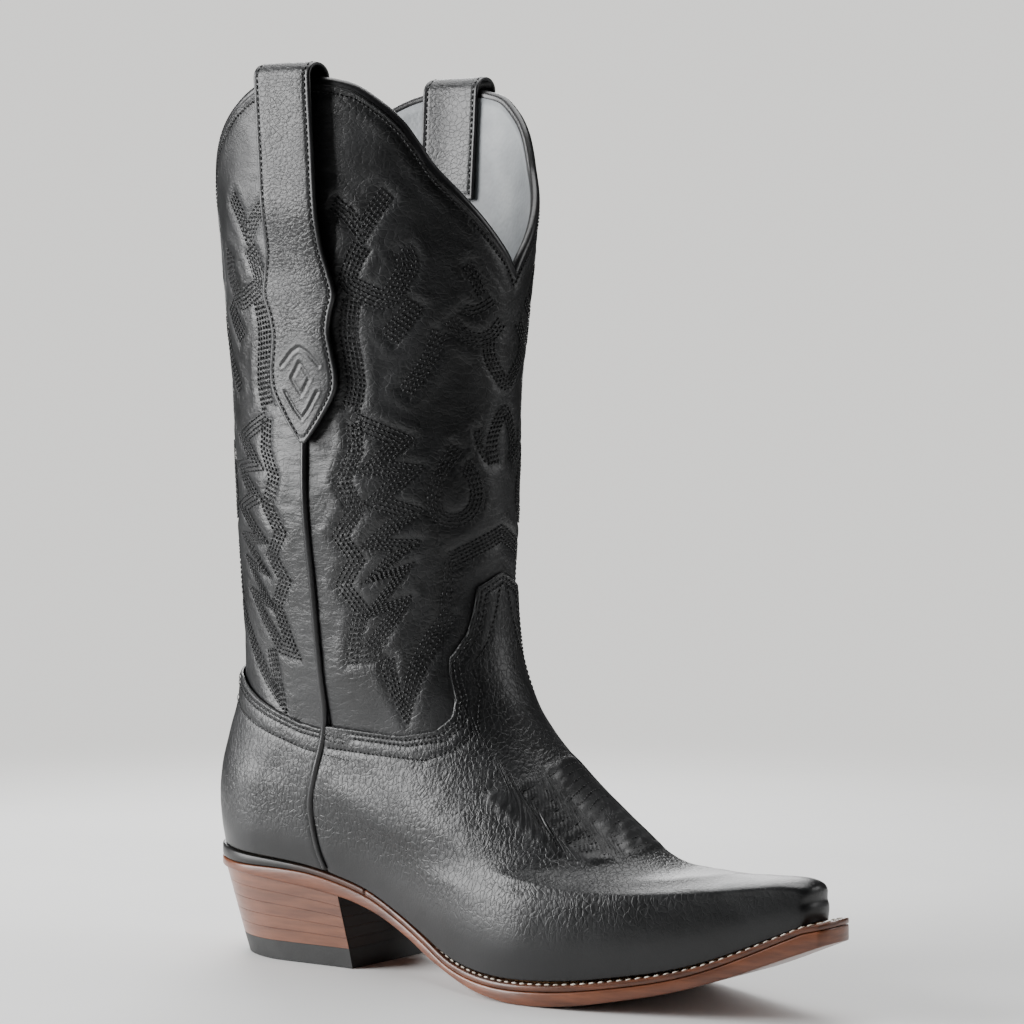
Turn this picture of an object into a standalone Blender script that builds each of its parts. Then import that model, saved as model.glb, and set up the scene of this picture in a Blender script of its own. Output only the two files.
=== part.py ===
"""A right cowboy boot. Toe towards +X, outer side towards -Y, heel and forepart on Z = 0.

Every leather piece lies on one form, the last, at its own depth: the shaft leather's outer
face is at depth 0, the lining is deeper, and the vamp, counter cover and straps lie on top.
Sizes are in millimetres and are turned to metres when a point is placed.
"""
import math

import bmesh
import bpy
from mathutils import Vector

MM = 0.001
SIDES = {"outer": -1, "inner": 1}

# The last, from the feather line up to the top of the shaft. Each row is one ring round it:
# front x, front z, lean of the front in degrees, back x, back z, length of the front round,
# length of the back round, then half widths at the heel, waist, ball and toe stations.
LAST = (
    (227.5, 40, 0, -79, 49, 4, 38, 30.5, 28, 43.5, 10),
    (227.5, 48, 0, -80.5, 59, 4, 40, 32.5, 30, 46.2, 10),
    (223.5, 55, 45, -81.5, 70, 12, 42, 33, 32, 44.6, 9),
    (187, 53, 85, -80.5, 84, 76, 44, 33, 34, 40.5, 11),
    (150, 57, 72, -77.5, 98, 84, 46, 32, 36, 38.5, 21),
    (96, 97, 42, -72.5, 116, 94, 50, 32, 35, 41.5, 38),
    (72, 130, 15, -71.5, 140, 80, 60, 35, 42, 43, 44),
    (67, 165, 3, -71.5, 170, 71, 68, 42, 44, 46, 46),
    (68.5, 205, 0, -72, 205, 70, 70, 47.5, 47.5, 47.5, 47.5),
    (70, 250, 0, -74.5, 250, 72, 72, 47.5, 47.5, 47.5, 47.5),
    (76, 310, 0, -79, 310, 77.5, 77.5, 52.5, 52.5, 52.5, 52.5),
    (84, 390, 0, -86, 390, 85, 85, 58, 58, 58, 58),
)
STATIONS = (-45, 30, 115, 220)
ANKLE_RING = 7
INFLARE = 4
INFLARE_CENTRE = 115
INFLARE_REACH = 85

# Lines in side view: x, z.
FEATHER = ((-79, 49), (-60, 47), (-20, 44), (0, 40.5), (18, 35.5), (35, 28), (54, 19.5),
           (70, 13), (90, 9.5), (115, 9), (146, 12), (185, 20.5), (229, 40))
SOLE_BOTTOM = ((-84, 38.5), (-40, 36), (0, 31.5), (20, 26.5), (42, 17.5), (58, 10.5), (84, 3),
               (104, 0.3), (115, 0), (126, 0.4), (146, 3), (185, 12), (239, 33))

# Where the side seam lies: ring number, x.
SEAM = ((0, -4.5), (1, -8), (2.4, -10), (3.6, -8.5), (4.3, -6), (5, -2.5), (6, -1.5), (7.5, -1.8),
        (9, -2.2), (11, -2))

# Lines round the last: angle from the front in degrees, height.
TOP_LINE = ((0, 299), (5, 306), (13, 314), (22, 323), (32, 333), (42, 344), (48, 354), (53, 362),
            (60, 370), (70, 378), (90, 381.7), (104, 379), (116, 372), (126, 364), (136, 354),
            (148, 338), (158, 326), (168, 315), (175, 308), (180, 302))
VAMP_TOP = ((0, 174), (4, 173), (17, 168), (20, 157), (24, 148), (35, 137), (37, 122), (43, 113),
            (53, 107), (68, 104), (100, 106))
COUNTER_TOP = ((95, 103), (110, 106), (124, 112), (148, 123), (180, 129))
LAP = 9

# How finely the panels are cut: shares from the middle line to the seam, and ring numbers.
PANEL_BREAKS = (0, 0.05, 0.12, 0.2, 0.29, 0.38, 0.47, 0.56, 0.66, 0.77, 0.88, 1)
TONGUE_BREAKS = (0, 4, 10, 17, 20, 24, 30, 35, 37, 43, 48, 53, 58, 64, 70, 76, 82, 88, 94, 100)
FOOT_RINGS = (0.06, 0.6, 1.1, 1.6, 2.1, 2.6, 3.1, 3.6, 4.1, 4.6)
COUNTER_RING = 3.6
TOE_BOX_RING = 3.1
TOE_BOX_REACH = 0.38
LINING_JOIN = 5.1
JOIN_STEP = 0.03
SEAM_GAP = 0.3
ROW_CROWDING = 1.25
SHAFT_RING = 9
VAMP_RING = 6
COUNTER_LINE_RING = 5
SHAFT_ROWS = 9
VAMP_EXTRA_ROWS = 4
COUNTER_EXTRA_ROWS = 2
HALVINGS = 24
LOWEST_SOUGHT_RING = 3.5

# Depths of each leather layer below the shaft's outer face, outer then inner.
SHAFT_LEATHER = (0, 1.7)
LINING = (2.6, 3.6)
STIFFENER = (0.1, 1.7)
OVERLAY = (-2.3, -0.8)
SEAM_CLEARANCE = 2.2
PIPING_RADIUS = 1.6
PIPING_RISE = (0.4, 1.4)
RISING_RINGS = (5.6, 4.6)
PIPING_RINGS = (10.2, 0.15)
PIPING_POINTS = 36
BEAD_RADIUS = 1.8
BEAD_ANGLES = [0, 2.5, 5, 7.5, 10] + list(range(15, 170, 5)) + [170, 172.5, 175, 177.5, 180]
JOINT_GAP = 0.3
LAYER_GAP = 0.5

STRAP_MIDDLE = -0.5
STRAP_THICKNESS = 1.8
STRAP_LIFT = 5.5
STRAP_LAID = 2.5
STRAP_LINING_GAP = 0.6
STRAP_TIP = 229
STRAP_INNER_END = 335
STRAP_HEIGHTS = (322, 334, 350, 368)
STRAP_RISING = (300, 334)
STRAP_TURN_STEP = 30
STRAP_COLUMNS = 6
LOOP_CENTRE_HEIGHT = 383.5
STRAP_HALF_WIDTH = ((229, 1.5), (234, 6), (242, 12), (251, 17.5), (258, 18.5), (268, 17), (276, 16),
                    (284, 17.5), (292, 20), (300, 18.5), (312, 15.8), (340, 15.5), (400, 15.5))

WELT_THICKNESS = 2.7
WELT_WIDTH = 9
TOE_SLOPE = 0.25
RAND_WEDGE = 3.4
SOLE_BACK = -83
SOLE_FRONT = 239
SOLE_WIDTHS = (33, 30.5, 48.5, 16)
SOLE_ROUNDS = (4, 38)
RAND_END = 16
INSOLE_THICKNESS = 3
INSOLE_CLEARANCE = 0.6
HEEL_PAD_FRONT = 22
PAD_THICKNESS = 1.2
CORK_BACK = 74
CORK_SHORTER = 1
COLUMNS = {"welt": 56, "rand": 44, "outsole": 40, "insole": 32, "cork": 24, "heel": 14, "shank": 12}
SHANK_ENDS = (-48, 68)
SHANK_HALF_WIDTH = 7
SHANK_DEPTHS = (2.4, 0.9)
HEEL_BREAST = 0
HEEL_TAPER = 13
HEEL_SIDE_TAPER = 2
HEEL_TOP_BACK = -81.5
HEEL_INSET = 1.2
BREAST_SLANT = 6.5
CAP_SHARE = 0.24
CAP_HEIGHT = 8.5
LIFTS = 5
NAIL_PLACES = ((-54, 0), (-36, -13), (-36, 13), (-15, 0))
NAIL_RADIUS = 1.1
PEG_STATIONS = (14, 24, 34)
PEG_SPREAD = 20
PEG_RADIUS = 1.2
NAIL_BOTTOM = 1.5
NAIL_TOP = 27
FASTENER_SIDES = 8
DRILL_PAST = 2

BLACK = (0.012, 0.012, 0.013)
FINISHES = {
    "grain_leather": (BLACK, 0.42, 0),
    "strap_leather": ((0.016, 0.016, 0.017), 0.45, 0),
    "piping_leather": ((0.006, 0.006, 0.006), 0.35, 0),
    "lining_leather": ((0.36, 0.37, 0.38), 0.5, 0),
    "stiffener_board": ((0.42, 0.33, 0.22), 0.8, 0),
    "insole_leather": ((0.5, 0.34, 0.2), 0.7, 0),
    "cork": ((0.42, 0.27, 0.15), 0.9, 0),
    "shank_steel": ((0.45, 0.46, 0.48), 0.35, 1),
    "welt_leather": ((0.13, 0.055, 0.03), 0.45, 0),
    "rand_leather": ((0.02, 0.016, 0.015), 0.5, 0),
    "sole_leather": ((0.2, 0.08, 0.04), 0.4, 0),
    "heel_leather": ((0.15, 0.06, 0.035), 0.4, 0),
    "cap_rubber": ((0.01, 0.01, 0.01), 0.7, 0),
    "nail_brass": ((0.6, 0.42, 0.16), 0.35, 1),
    "peg_wood": ((0.6, 0.42, 0.22), 0.7, 0),
}


def clear_scene():
    for item in list(bpy.data.objects):
        bpy.data.objects.remove(item, do_unlink=True)


def finish(name):
    material = bpy.data.materials.get(name)
    if material is None:
        colour, roughness, metallic = FINISHES[name]
        material = bpy.data.materials.new(name)
        material.use_nodes = True
        shader = material.node_tree.nodes["Principled BSDF"]
        shader.inputs["Base Color"].default_value = (*colour, 1)
        shader.inputs["Roughness"].default_value = roughness
        shader.inputs["Metallic"].default_value = metallic
    return material


def smooth_step(low, high, value):
    share = min(max((value - low) / (high - low), 0), 1)
    return share * share * (3 - 2 * share)


def hermite(start, end, slope_start, slope_end, span, share):
    square = share * share
    cube = square * share
    return ((2 * cube - 3 * square + 1) * start + (cube - 2 * square + share) * span * slope_start
            + (3 * square - 2 * cube) * end + (cube - square) * span * slope_end)


def curve_value(points, place):
    """Height at a place on the smooth curve through a few (place, height) points."""
    last = len(points) - 2
    index = 0
    while index < last and place > points[index + 1][0]:
        index += 1
    slopes = []
    for middle in (index, index + 1):
        before = points[max(middle - 1, 0)]
        after = points[min(middle + 1, last + 1)]
        slopes.append((after[1] - before[1]) / (after[0] - before[0]))
    span = points[index + 1][0] - points[index][0]
    share = min(max((place - points[index][0]) / span, 0), 1)
    return hermite(points[index][1], points[index + 1][1], slopes[0], slopes[1], span, share)


def line_value(points, place):
    """Height at a place on the straight-sided line through a few (place, height) points."""
    for (x0, z0), (x1, z1) in zip(points, points[1:]):
        if place <= x1:
            return z0 + (z1 - z0) * max(place - x0, 0) / (x1 - x0)
    return points[-1][1]


def last_ring(ring):
    """All the measures of the last at a ring number, which may lie between two rows."""
    columns = zip(*LAST)
    return [curve_value(tuple(enumerate(column)), ring) for column in columns]


def round_end(share):
    share = min(max(share, 0), 1)
    return math.sqrt(1 - (1 - share) ** 2)


def plan_width(widths, x):
    if x <= STATIONS[0]:
        return widths[0]
    if x >= STATIONS[3]:
        return widths[3] + (widths[3] - widths[2]) * (x - STATIONS[3]) / (STATIONS[3] - STATIONS[2])
    span = [STATIONS[i + 1] - STATIONS[i] for i in range(3)]
    slopes = (0, (widths[2] - widths[0]) / (span[0] + span[1]),
              (widths[3] - widths[1]) / (span[1] + span[2]), (widths[3] - widths[2]) / span[2])
    i = 0
    while x > STATIONS[i + 1]:
        i += 1
    share = (x - STATIONS[i]) / span[i]
    return hermite(widths[i], widths[i + 1], slopes[i], slopes[i + 1], span[i], share)


def inflare(x):
    """How much further the big-toe side reaches than the little-toe side."""
    reach = (x - INFLARE_CENTRE) / INFLARE_REACH
    return INFLARE * math.cos(reach * math.pi / 2) ** 2 if abs(reach) < 1 else 0


def on_last(angle, ring, depth=0):
    """The point at an angle from the front, in degrees (inner side positive), on a ring."""
    (front, front_z, lean, back, back_z, front_round, back_round, *widths) = last_ring(ring)
    front -= depth * math.cos(math.radians(lean))
    front_z -= depth * math.sin(math.radians(lean))
    back += depth
    share = (1 + math.cos(math.radians(angle))) / 2
    x = back + (front - back) * share
    width = plan_width([w - depth for w in widths], x)
    width *= round_end((x - back) / back_round) * round_end((front - x) / front_round)
    fade = max(1 - ring / ANKLE_RING, 0)
    if angle > 0:
        width += inflare(x) * fade * round_end((front - x) / front_round)
    first, last = FEATHER[0], FEATHER[-1]
    along = first[0] + (last[0] - first[0]) * share
    chord = first[1] + (last[1] - first[1]) * share
    sag = fade ** 1.5 * (curve_value(FEATHER, along) - chord)
    z = back_z + (front_z - back_z) * share + sag
    side = 0 if angle % 180 == 0 else math.copysign(1, math.sin(math.radians(angle)))
    return Vector((x, side * width, z)) * MM


def ring_at(angle, height):
    """The ring that passes a height at an angle, found by halving."""
    low, high = LOWEST_SOUGHT_RING, float(len(LAST) - 1)
    for _ in range(HALVINGS):
        middle = (low + high) / 2
        if on_last(angle, middle).z / MM < height:
            low = middle
        else:
            high = middle
    return (low + high) / 2


def seam_angle(ring):
    front, back = last_ring(ring)[0], last_ring(ring)[3]
    share = (curve_value(SEAM, ring) - back) / (front - back)
    return math.degrees(math.acos(2 * share - 1))


def outline(x, widths=SOLE_WIDTHS, back=SOLE_BACK, front=SOLE_FRONT, rounds=SOLE_ROUNDS, inset=0):
    """Half widths of a flat sole piece at x: outer side, then inner side."""
    back += inset
    front -= inset
    width = plan_width([w - inset for w in widths], x)
    rounding = round_end((x - back) / rounds[1]) * round_end((front - x) / rounds[0])
    return width * rounding, (width + inflare(x)) * rounding


def add_object(name, mesh_builder, material, smooth=True):
    """Put a finished bmesh in the scene as one named part."""
    bmesh.ops.remove_doubles(mesh_builder, verts=mesh_builder.verts, dist=1e-6)
    bmesh.ops.recalc_face_normals(mesh_builder, faces=mesh_builder.faces)
    mesh = bpy.data.meshes.new(name)
    mesh_builder.to_mesh(mesh)
    mesh_builder.free()
    for polygon in mesh.polygons:
        polygon.use_smooth = smooth
    part = bpy.data.objects.new(name, mesh)
    parts_collection.objects.link(part)
    part.parent = boot
    mesh.materials.append(finish(material))
    return part


def thick_patch(name, material, columns, rows, place, smooth=True):
    """A grid of columns by rows, given a second face, each vertex placed by place(u, v, face)."""
    builder = bmesh.new()
    bmesh.ops.create_grid(builder, x_segments=columns, y_segments=rows, size=1)
    spots = [((v.co.x + 1) / 2, (v.co.y + 1) / 2) for v in builder.verts]
    front = list(builder.verts)
    made = bmesh.ops.extrude_face_region(builder, geom=list(builder.faces), use_keep_orig=True)
    back = [item for item in made["geom"] if isinstance(item, bmesh.types.BMVert)]
    for vertex in back:
        u, v = (vertex.co.x + 1) / 2, (vertex.co.y + 1) / 2
        vertex.co = place(u, v, 1)
    for vertex, (u, v) in zip(front, spots):
        vertex.co = place(u, v, 0)
    return add_object(name, builder, material, smooth)


def crowded_rows(lower, upper, rows):
    """Ring numbers between two lines, closer together near the lower one."""
    def ring(u, row):
        low, high = lower(u), upper(u)
        return low + (high - low) * (row / rows) ** ROW_CROWDING
    return ring, rows


def foot_rows(upper, extra):
    """Ring numbers that every foot layer shares, then a few more up to its own top line."""
    def ring(u, row):
        if row < len(FOOT_RINGS):
            return FOOT_RINGS[row]
        share = (row - len(FOOT_RINGS) + 1) / extra
        return FOOT_RINGS[-1] + (upper(u) - FOOT_RINGS[-1]) * share
    return ring, len(FOOT_RINGS) - 1 + extra


def leather_panel(name, material, angles, ring_rows, depths):
    """A leather piece on the last, from outer to inner depth, between two seams."""
    ring_of, rows = ring_rows

    def place(u, v, face):
        ring = ring_of(u, round(v * rows))
        return on_last(angles(u, ring), ring, depths[face])
    return thick_patch(name, material, angles.columns, rows, place)


class Spread:
    """Angles from seam to seam, over the front or over the back of the last."""

    def __init__(self, middle, breaks, clearance=0):
        self.middle = middle
        self.breaks = [-b for b in reversed(breaks[1:])] + list(breaks)
        self.columns = len(self.breaks) - 1
        self.clearance = clearance

    def share(self, u):
        position = u * self.columns
        index = min(int(position), self.columns - 1)
        return self.breaks[index] + (self.breaks[index + 1] - self.breaks[index]) * (position - index)

    def __call__(self, u, ring):
        half = seam_angle(ring) if self.middle == 0 else 180 - seam_angle(ring)
        return self.middle + (half - self.clearance) * self.share(u)


def seam_clearance():
    """The angle that the piping's groove takes on each side of the seam, on the shaft."""
    girth = 2 * math.pi * math.sqrt((LAST[SHAFT_RING][0] ** 2 + LAST[SHAFT_RING][7] ** 2) / 2)
    return SEAM_CLEARANCE / girth * 360


def top_ring(angle):
    turned = (angle + 180) % 360 - 180
    return ring_at(angle, curve_value(TOP_LINE, abs(turned)))


def on_line(spread, line, rise=0, ring_guess=VAMP_RING):
    """Ring number of a line of heights at each share of a spread."""
    def ring(u):
        angle = spread(u, ring_guess)
        turned = (angle + 180) % 360 - 180
        return ring_at(angle, line_value(line, abs(turned)) + rise)
    return ring


def make_shaft():
    clearance = seam_clearance()
    for name, middle, line in (("front", 0, VAMP_TOP), ("back", 180, COUNTER_TOP)):
        spread = Spread(middle, PANEL_BREAKS, clearance)
        upper = lambda u, s=spread: top_ring(s(u, SHAFT_RING))
        rows = crowded_rows(on_line(spread, line, -LAP), upper, SHAFT_ROWS)
        leather_panel("shaft_" + name, "grain_leather", spread, rows, SHAFT_LEATHER)
        inner = Spread(middle, PANEL_BREAKS, SEAM_GAP)
        upper = lambda u, s=inner: top_ring(s(u, SHAFT_RING))
        rows = crowded_rows(lambda u: LINING_JOIN + JOIN_STEP, upper, SHAFT_ROWS)
        leather_panel("shaft_lining_" + name, "lining_leather", inner, rows, LINING)


def make_foot_upper():
    clearance = seam_clearance()
    breaks = [angle / TONGUE_BREAKS[-1] for angle in TONGUE_BREAKS]
    tip = [share for share in breaks if share < TOE_BOX_REACH]
    front = Spread(0, breaks, clearance)
    toe = Spread(0, tip, clearance)
    back = Spread(180, PANEL_BREAKS, clearance)
    vamp_top = lambda u: ring_at(front.share(u) * VAMP_TOP[-1][0],
                                 line_value(VAMP_TOP, abs(front.share(u)) * VAMP_TOP[-1][0]))
    leather_panel("vamp", "grain_leather", front, foot_rows(vamp_top, VAMP_EXTRA_ROWS), OVERLAY)
    leather_panel("counter_cover", "grain_leather", back,
                  foot_rows(on_line(back, COUNTER_TOP, 0, COUNTER_LINE_RING), COUNTER_EXTRA_ROWS), OVERLAY)
    join = lambda u: LINING_JOIN
    leather_panel("vamp_lining", "lining_leather", Spread(0, breaks, SEAM_GAP), foot_rows(join, 1), LINING)
    leather_panel("counter_lining", "lining_leather", Spread(180, PANEL_BREAKS, SEAM_GAP),
                  foot_rows(join, 1), LINING)
    board_rows = (lambda u, row: FOOT_RINGS[row], FOOT_RINGS.index(COUNTER_RING))
    leather_panel("heel_counter", "stiffener_board", Spread(180, PANEL_BREAKS, clearance), board_rows,
                  STIFFENER)
    box_rows = (lambda u, row: FOOT_RINGS[row], FOOT_RINGS.index(TOE_BOX_RING))
    leather_panel("toe_box", "stiffener_board", toe, box_rows, STIFFENER)


def tube(name, material, points, radius, closed=False, sides=2):
    """A round strip along a hand-led route of points."""
    curve = bpy.data.curves.new(name, "CURVE")
    curve.dimensions = "3D"
    curve.bevel_depth = radius * MM
    curve.bevel_resolution = sides
    curve.use_fill_caps = not closed
    spline = curve.splines.new("POLY")
    spline.points.add(len(points) - 1)
    for target, point in zip(spline.points, points):
        target.co = (*point, 1)
    spline.use_cyclic_u = closed
    part = bpy.data.objects.new(name, curve)
    parts_collection.objects.link(part)
    part.parent = boot
    curve.materials.append(finish(material))
    return part


def make_piping():
    """A leather-covered cord in each side seam, from under the strap down to the welt."""
    for name, side in SIDES.items():
        points = []
        for step in range(PIPING_POINTS):
            ring = PIPING_RINGS[0] + (PIPING_RINGS[1] - PIPING_RINGS[0]) * step / (PIPING_POINTS - 1)
            rise = PIPING_RISE[0] + (PIPING_RISE[1] - PIPING_RISE[0]) * smooth_step(*RISING_RINGS, ring)
            points.append(on_last(side * seam_angle(ring), ring, -rise))
        tube("side_piping_" + name, "piping_leather", points, PIPING_RADIUS, sides=1)


def edge_slope(angle):
    """Slope of the top edge beside an angle, along the leather."""
    angle = min(max(angle, 1), 179)
    rise = curve_value(TOP_LINE, angle + 1) - curve_value(TOP_LINE, angle - 1)
    ring = ring_at(angle, curve_value(TOP_LINE, angle))
    run = (on_last(angle + 1, ring) - on_last(angle - 1, ring)).length / MM
    return rise / run


def make_top_binding():
    """A rolled leather bead that closes the scalloped top edge of shaft and lining."""
    middle = (SHAFT_LEATHER[0] + LINING[1]) / 2
    points = []
    for angle in BEAD_ANGLES + [360 - a for a in reversed(BEAD_ANGLES[1:-1])]:
        turned = (angle + 180) % 360 - 180
        clear = (LAYER_GAP + BEAD_RADIUS) * math.hypot(1, edge_slope(abs(turned)))
        height = curve_value(TOP_LINE, abs(turned)) + clear
        point = on_last(turned, ring_at(turned, height), middle)
        points.append(point)
    tube("top_binding", "piping_leather", points, BEAD_RADIUS, closed=True, sides=1)


def beside(side, x, height, depth):
    """The point on one side of the shaft at x and a height, at a depth."""
    ring = ring_at(90, height)
    front, back = last_ring(ring)[0] - depth, last_ring(ring)[3] + depth
    turn = math.degrees(math.acos(2 * (x - back) / (front - back) - 1))
    point = on_last(side * turn, ring, depth)
    point.z = height * MM
    return point


def strap_stations():
    """Places along a pull strap, tip to inner end: kind of stretch, then height or turn."""
    outer = [("outer", height) for height, _ in STRAP_HALF_WIDTH[:-2]]
    outer += [("outer", height) for height in STRAP_HEIGHTS]
    loop = [("loop", turn) for turn in range(0, 181, STRAP_TURN_STEP)]
    inner = [("inner", height) for height in (*STRAP_HEIGHTS[:1:-1], STRAP_INNER_END)]
    return outer + loop + inner


def make_straps():
    """Pull straps: a band sewn to the outside, looped over the top edge and sewn inside."""
    stations = strap_stations()
    inner_face = LINING[1] + STRAP_LINING_GAP
    centre = (inner_face - STRAP_LIFT) / 2
    reach = (inner_face + STRAP_LIFT) / 2
    for name, side in SIDES.items():
        def place(u, v, face, side=side):
            kind, value = stations[round(v * (len(stations) - 1))]
            thickness = STRAP_THICKNESS * face
            if kind == "loop":
                turn = math.radians(value)
                depth = centre - (reach + thickness) * math.cos(turn)
                height = LOOP_CENTRE_HEIGHT + (reach + thickness) * math.sin(turn)
            elif kind == "outer":
                height = value
                lift = STRAP_LAID + (STRAP_LIFT - STRAP_LAID) * smooth_step(*STRAP_RISING, height)
                depth = -lift - thickness
            else:
                height = value
                depth = inner_face + thickness
            half_width = curve_value(STRAP_HALF_WIDTH, height)
            return beside(side, STRAP_MIDDLE + (2 * u - 1) * half_width, height, depth)
        thick_patch("pull_strap_" + name, "strap_leather", STRAP_COLUMNS, len(stations) - 1, place)


def feather_height(x):
    edge = FEATHER[-1]
    return curve_value(FEATHER, x) + TOE_SLOPE * max(x - edge[0], 0)


def sole_top(x):
    wedge = RAND_WEDGE * smooth_step(-10, SOLE_BACK, x)
    return feather_height(x) - WELT_THICKNESS - 2 * LAYER_GAP - wedge


def sole_bottom(x):
    return curve_value(SOLE_BOTTOM, x)


def slab(name, material, back, front, half_widths, bottom, top, columns, crowd_front=False, smooth=True):
    """A flat piece between two heights, as wide as half_widths says at each x."""
    def place(u, v, face):
        share = (1 - math.cos(math.pi * u)) / 2 if crowd_front else 1 - math.cos(math.pi * u / 2)
        x = back + (front - back) * share
        outer, inner = half_widths(x)
        y = -outer + (outer + inner) * v
        return Vector((x, y, (top if face else bottom)(x))) * MM
    return thick_patch(name, material, columns, 2, place, smooth)


def edge_strip(name, material, start, end, inset, bottom, top, columns):
    """A strip round one end of the sole, from the outer side at start, past end, to the inner side."""
    turned = end < start

    def place(u, v, face):
        sweep = math.sin(math.pi * u)
        margin = inset * (1 - v)
        reach = end + margin if turned else end - margin
        x = start + (reach - start) * sweep
        outer, inner = outline(x, inset=margin)
        y = -outer if u < 0.5 else inner
        return Vector((x, y, (top if face else bottom)(x))) * MM
    return thick_patch(name, material, columns, 1, place)


def make_sole():
    welt_top = lambda x: feather_height(x) - LAYER_GAP
    edge_strip("welt", "welt_leather", RAND_END, SOLE_FRONT, WELT_WIDTH,
               lambda x: sole_top(x) + LAYER_GAP, welt_top, COLUMNS["welt"])
    edge_strip("heel_rand", "rand_leather", RAND_END - JOINT_GAP, SOLE_BACK, WELT_WIDTH,
               lambda x: sole_top(x) + LAYER_GAP, welt_top, COLUMNS["rand"])
    outsole = slab("outsole", "sole_leather", SOLE_BACK, SOLE_FRONT, outline, sole_bottom, sole_top,
                   COLUMNS["outsole"], True)
    inside = LINING[1] + INSOLE_CLEARANCE
    ring = LAST[0]

    def insole_outline(x):
        return outline(x, ring[7:], ring[3], ring[0], ring[5:7], inside)
    back, front = ring[3] + inside, ring[0] - inside
    insole_top = lambda x: feather_height(x) + JOINT_GAP + INSOLE_THICKNESS
    slab("insole", "insole_leather", back, front, insole_outline,
         lambda x: feather_height(x) + JOINT_GAP, insole_top, COLUMNS["insole"], True)
    slab("heel_pad", "lining_leather", back, HEEL_PAD_FRONT, insole_outline,
         lambda x: insole_top(x) + JOINT_GAP, lambda x: insole_top(x) + JOINT_GAP + PAD_THICKNESS,
         COLUMNS["heel"])
    cork_inset = WELT_WIDTH + JOINT_GAP
    slab("cork_filler", "cork", CORK_BACK, SOLE_FRONT - cork_inset - CORK_SHORTER,
         lambda x: outline(x, inset=cork_inset),
         lambda x: sole_top(x) + JOINT_GAP, lambda x: feather_height(x), COLUMNS["cork"], True)
    slab("shank", "shank_steel", SHANK_ENDS[0], SHANK_ENDS[1], lambda x: (SHANK_HALF_WIDTH,) * 2,
         lambda x: feather_height(x) - SHANK_DEPTHS[0], lambda x: feather_height(x) - SHANK_DEPTHS[1],
         COLUMNS["shank"], True)
    return outsole


def heel_outline(share):
    """Back, breast and side inset of the heel at a share of its height from the floor."""
    back = HEEL_TOP_BACK + HEEL_TAPER * (1 - share)
    breast = HEEL_BREAST + BREAST_SLANT * (1 - share)
    return back, breast, HEEL_SIDE_TAPER * (1 - share)


def make_heel():
    """Stacked leather lifts over a rubber cap, nailed through from below."""
    def boundary(level, x):
        if level == 0:
            return 0
        share = (level - 1) / LIFTS
        return CAP_HEIGHT + (sole_bottom(x) - CAP_HEIGHT) * share

    layers = []
    for level in range(LIFTS + 1):
        name = "heel_cap" if level == 0 else "heel_lift_%d" % level
        material = "cap_rubber" if level == 0 else "heel_leather"

        def place(u, v, face, level=level):
            top_share = (level + face - 1) / LIFTS
            share = max(CAP_SHARE + (1 - CAP_SHARE) * top_share, 0) if level + face else 0
            back, breast, taper = heel_outline(share)
            x = back + (breast - back) * (1 - math.cos(math.pi * u / 2))
            sides = [width - HEEL_INSET - taper for width in SOLE_WIDTHS]
            outer, inner = outline(x, sides, back)
            y = -outer + (outer + inner) * v
            height = boundary(level + face, x)
            height += JOINT_GAP / 2 if face == 0 and level else 0
            height -= JOINT_GAP / 2 if face else 0
            return Vector((x, y, height)) * MM
        layers.append(thick_patch(name, material, COLUMNS["heel"], 2, place))
    return layers


def peg(name, material, x, y, radius, bottom, top, sides):
    """An upright nail or peg."""
    bpy.ops.mesh.primitive_cylinder_add(vertices=sides, radius=radius * MM, depth=(top - bottom) * MM,
                                        location=(x * MM, y * MM, (top + bottom) / 2 * MM))
    part = bpy.context.object
    part.name = name
    part.data.name = name
    part.data.materials.append(finish(material))
    for owner in list(part.users_collection):
        owner.objects.unlink(part)
    parts_collection.objects.link(part)
    part.parent = boot
    return part


def drill(parts, x, y, radius, bottom, top):
    """Bore one upright hole through some parts."""
    cutter = peg("cutter", "nail_brass", x, y, radius, bottom, top, FASTENER_SIDES)
    parts_collection.objects.unlink(cutter)
    cutters_collection.objects.link(cutter)
    cutter.hide_render = True
    cutter.display_type = "WIRE"
    for part in parts:
        bore = part.modifiers.new("bore", "BOOLEAN")
        bore.operation = "DIFFERENCE"
        bore.solver = "EXACT"
        bore.object = cutter


def make_fasteners(outsole, layers):
    """Brass nails up through the heel, and wooden pegs through the outsole at the waist."""
    for number, (x, y) in enumerate(NAIL_PLACES, 1):
        drill(layers[:-1], x, y, NAIL_RADIUS + JOINT_GAP, -DRILL_PAST, NAIL_TOP + JOINT_GAP)
        peg("heel_nail_%d" % number, "nail_brass", x, y, NAIL_RADIUS, NAIL_BOTTOM, NAIL_TOP, FASTENER_SIDES)
    for side_name, side in SIDES.items():
        for number, x in enumerate(PEG_STATIONS, 1):
            y = side * PEG_SPREAD
            reach = PEG_RADIUS + JOINT_GAP
            low = sole_bottom(x + PEG_RADIUS) + JOINT_GAP
            high = sole_top(x + PEG_RADIUS) - JOINT_GAP
            drill([outsole], x, y, reach, sole_bottom(x + reach) - DRILL_PAST,
                  sole_top(x - reach) + DRILL_PAST)
            peg("waist_peg_%s_%d" % (side_name, number), "peg_wood", x, y, PEG_RADIUS, low, high,
                FASTENER_SIDES)


clear_scene()
parts_collection = bpy.data.collections.new("cowboy_boot")
bpy.context.scene.collection.children.link(parts_collection)
cutters_collection = bpy.data.collections.new("cutters")
bpy.context.scene.collection.children.link(cutters_collection)
boot = bpy.data.objects.new("boot", None)
boot.location.x = -(SOLE_FRONT + SOLE_BACK) / 2 * MM
parts_collection.objects.link(boot)
make_shaft()
make_foot_upper()
make_piping()
make_top_binding()
make_straps()
make_fasteners(make_sole(), make_heel())
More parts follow.
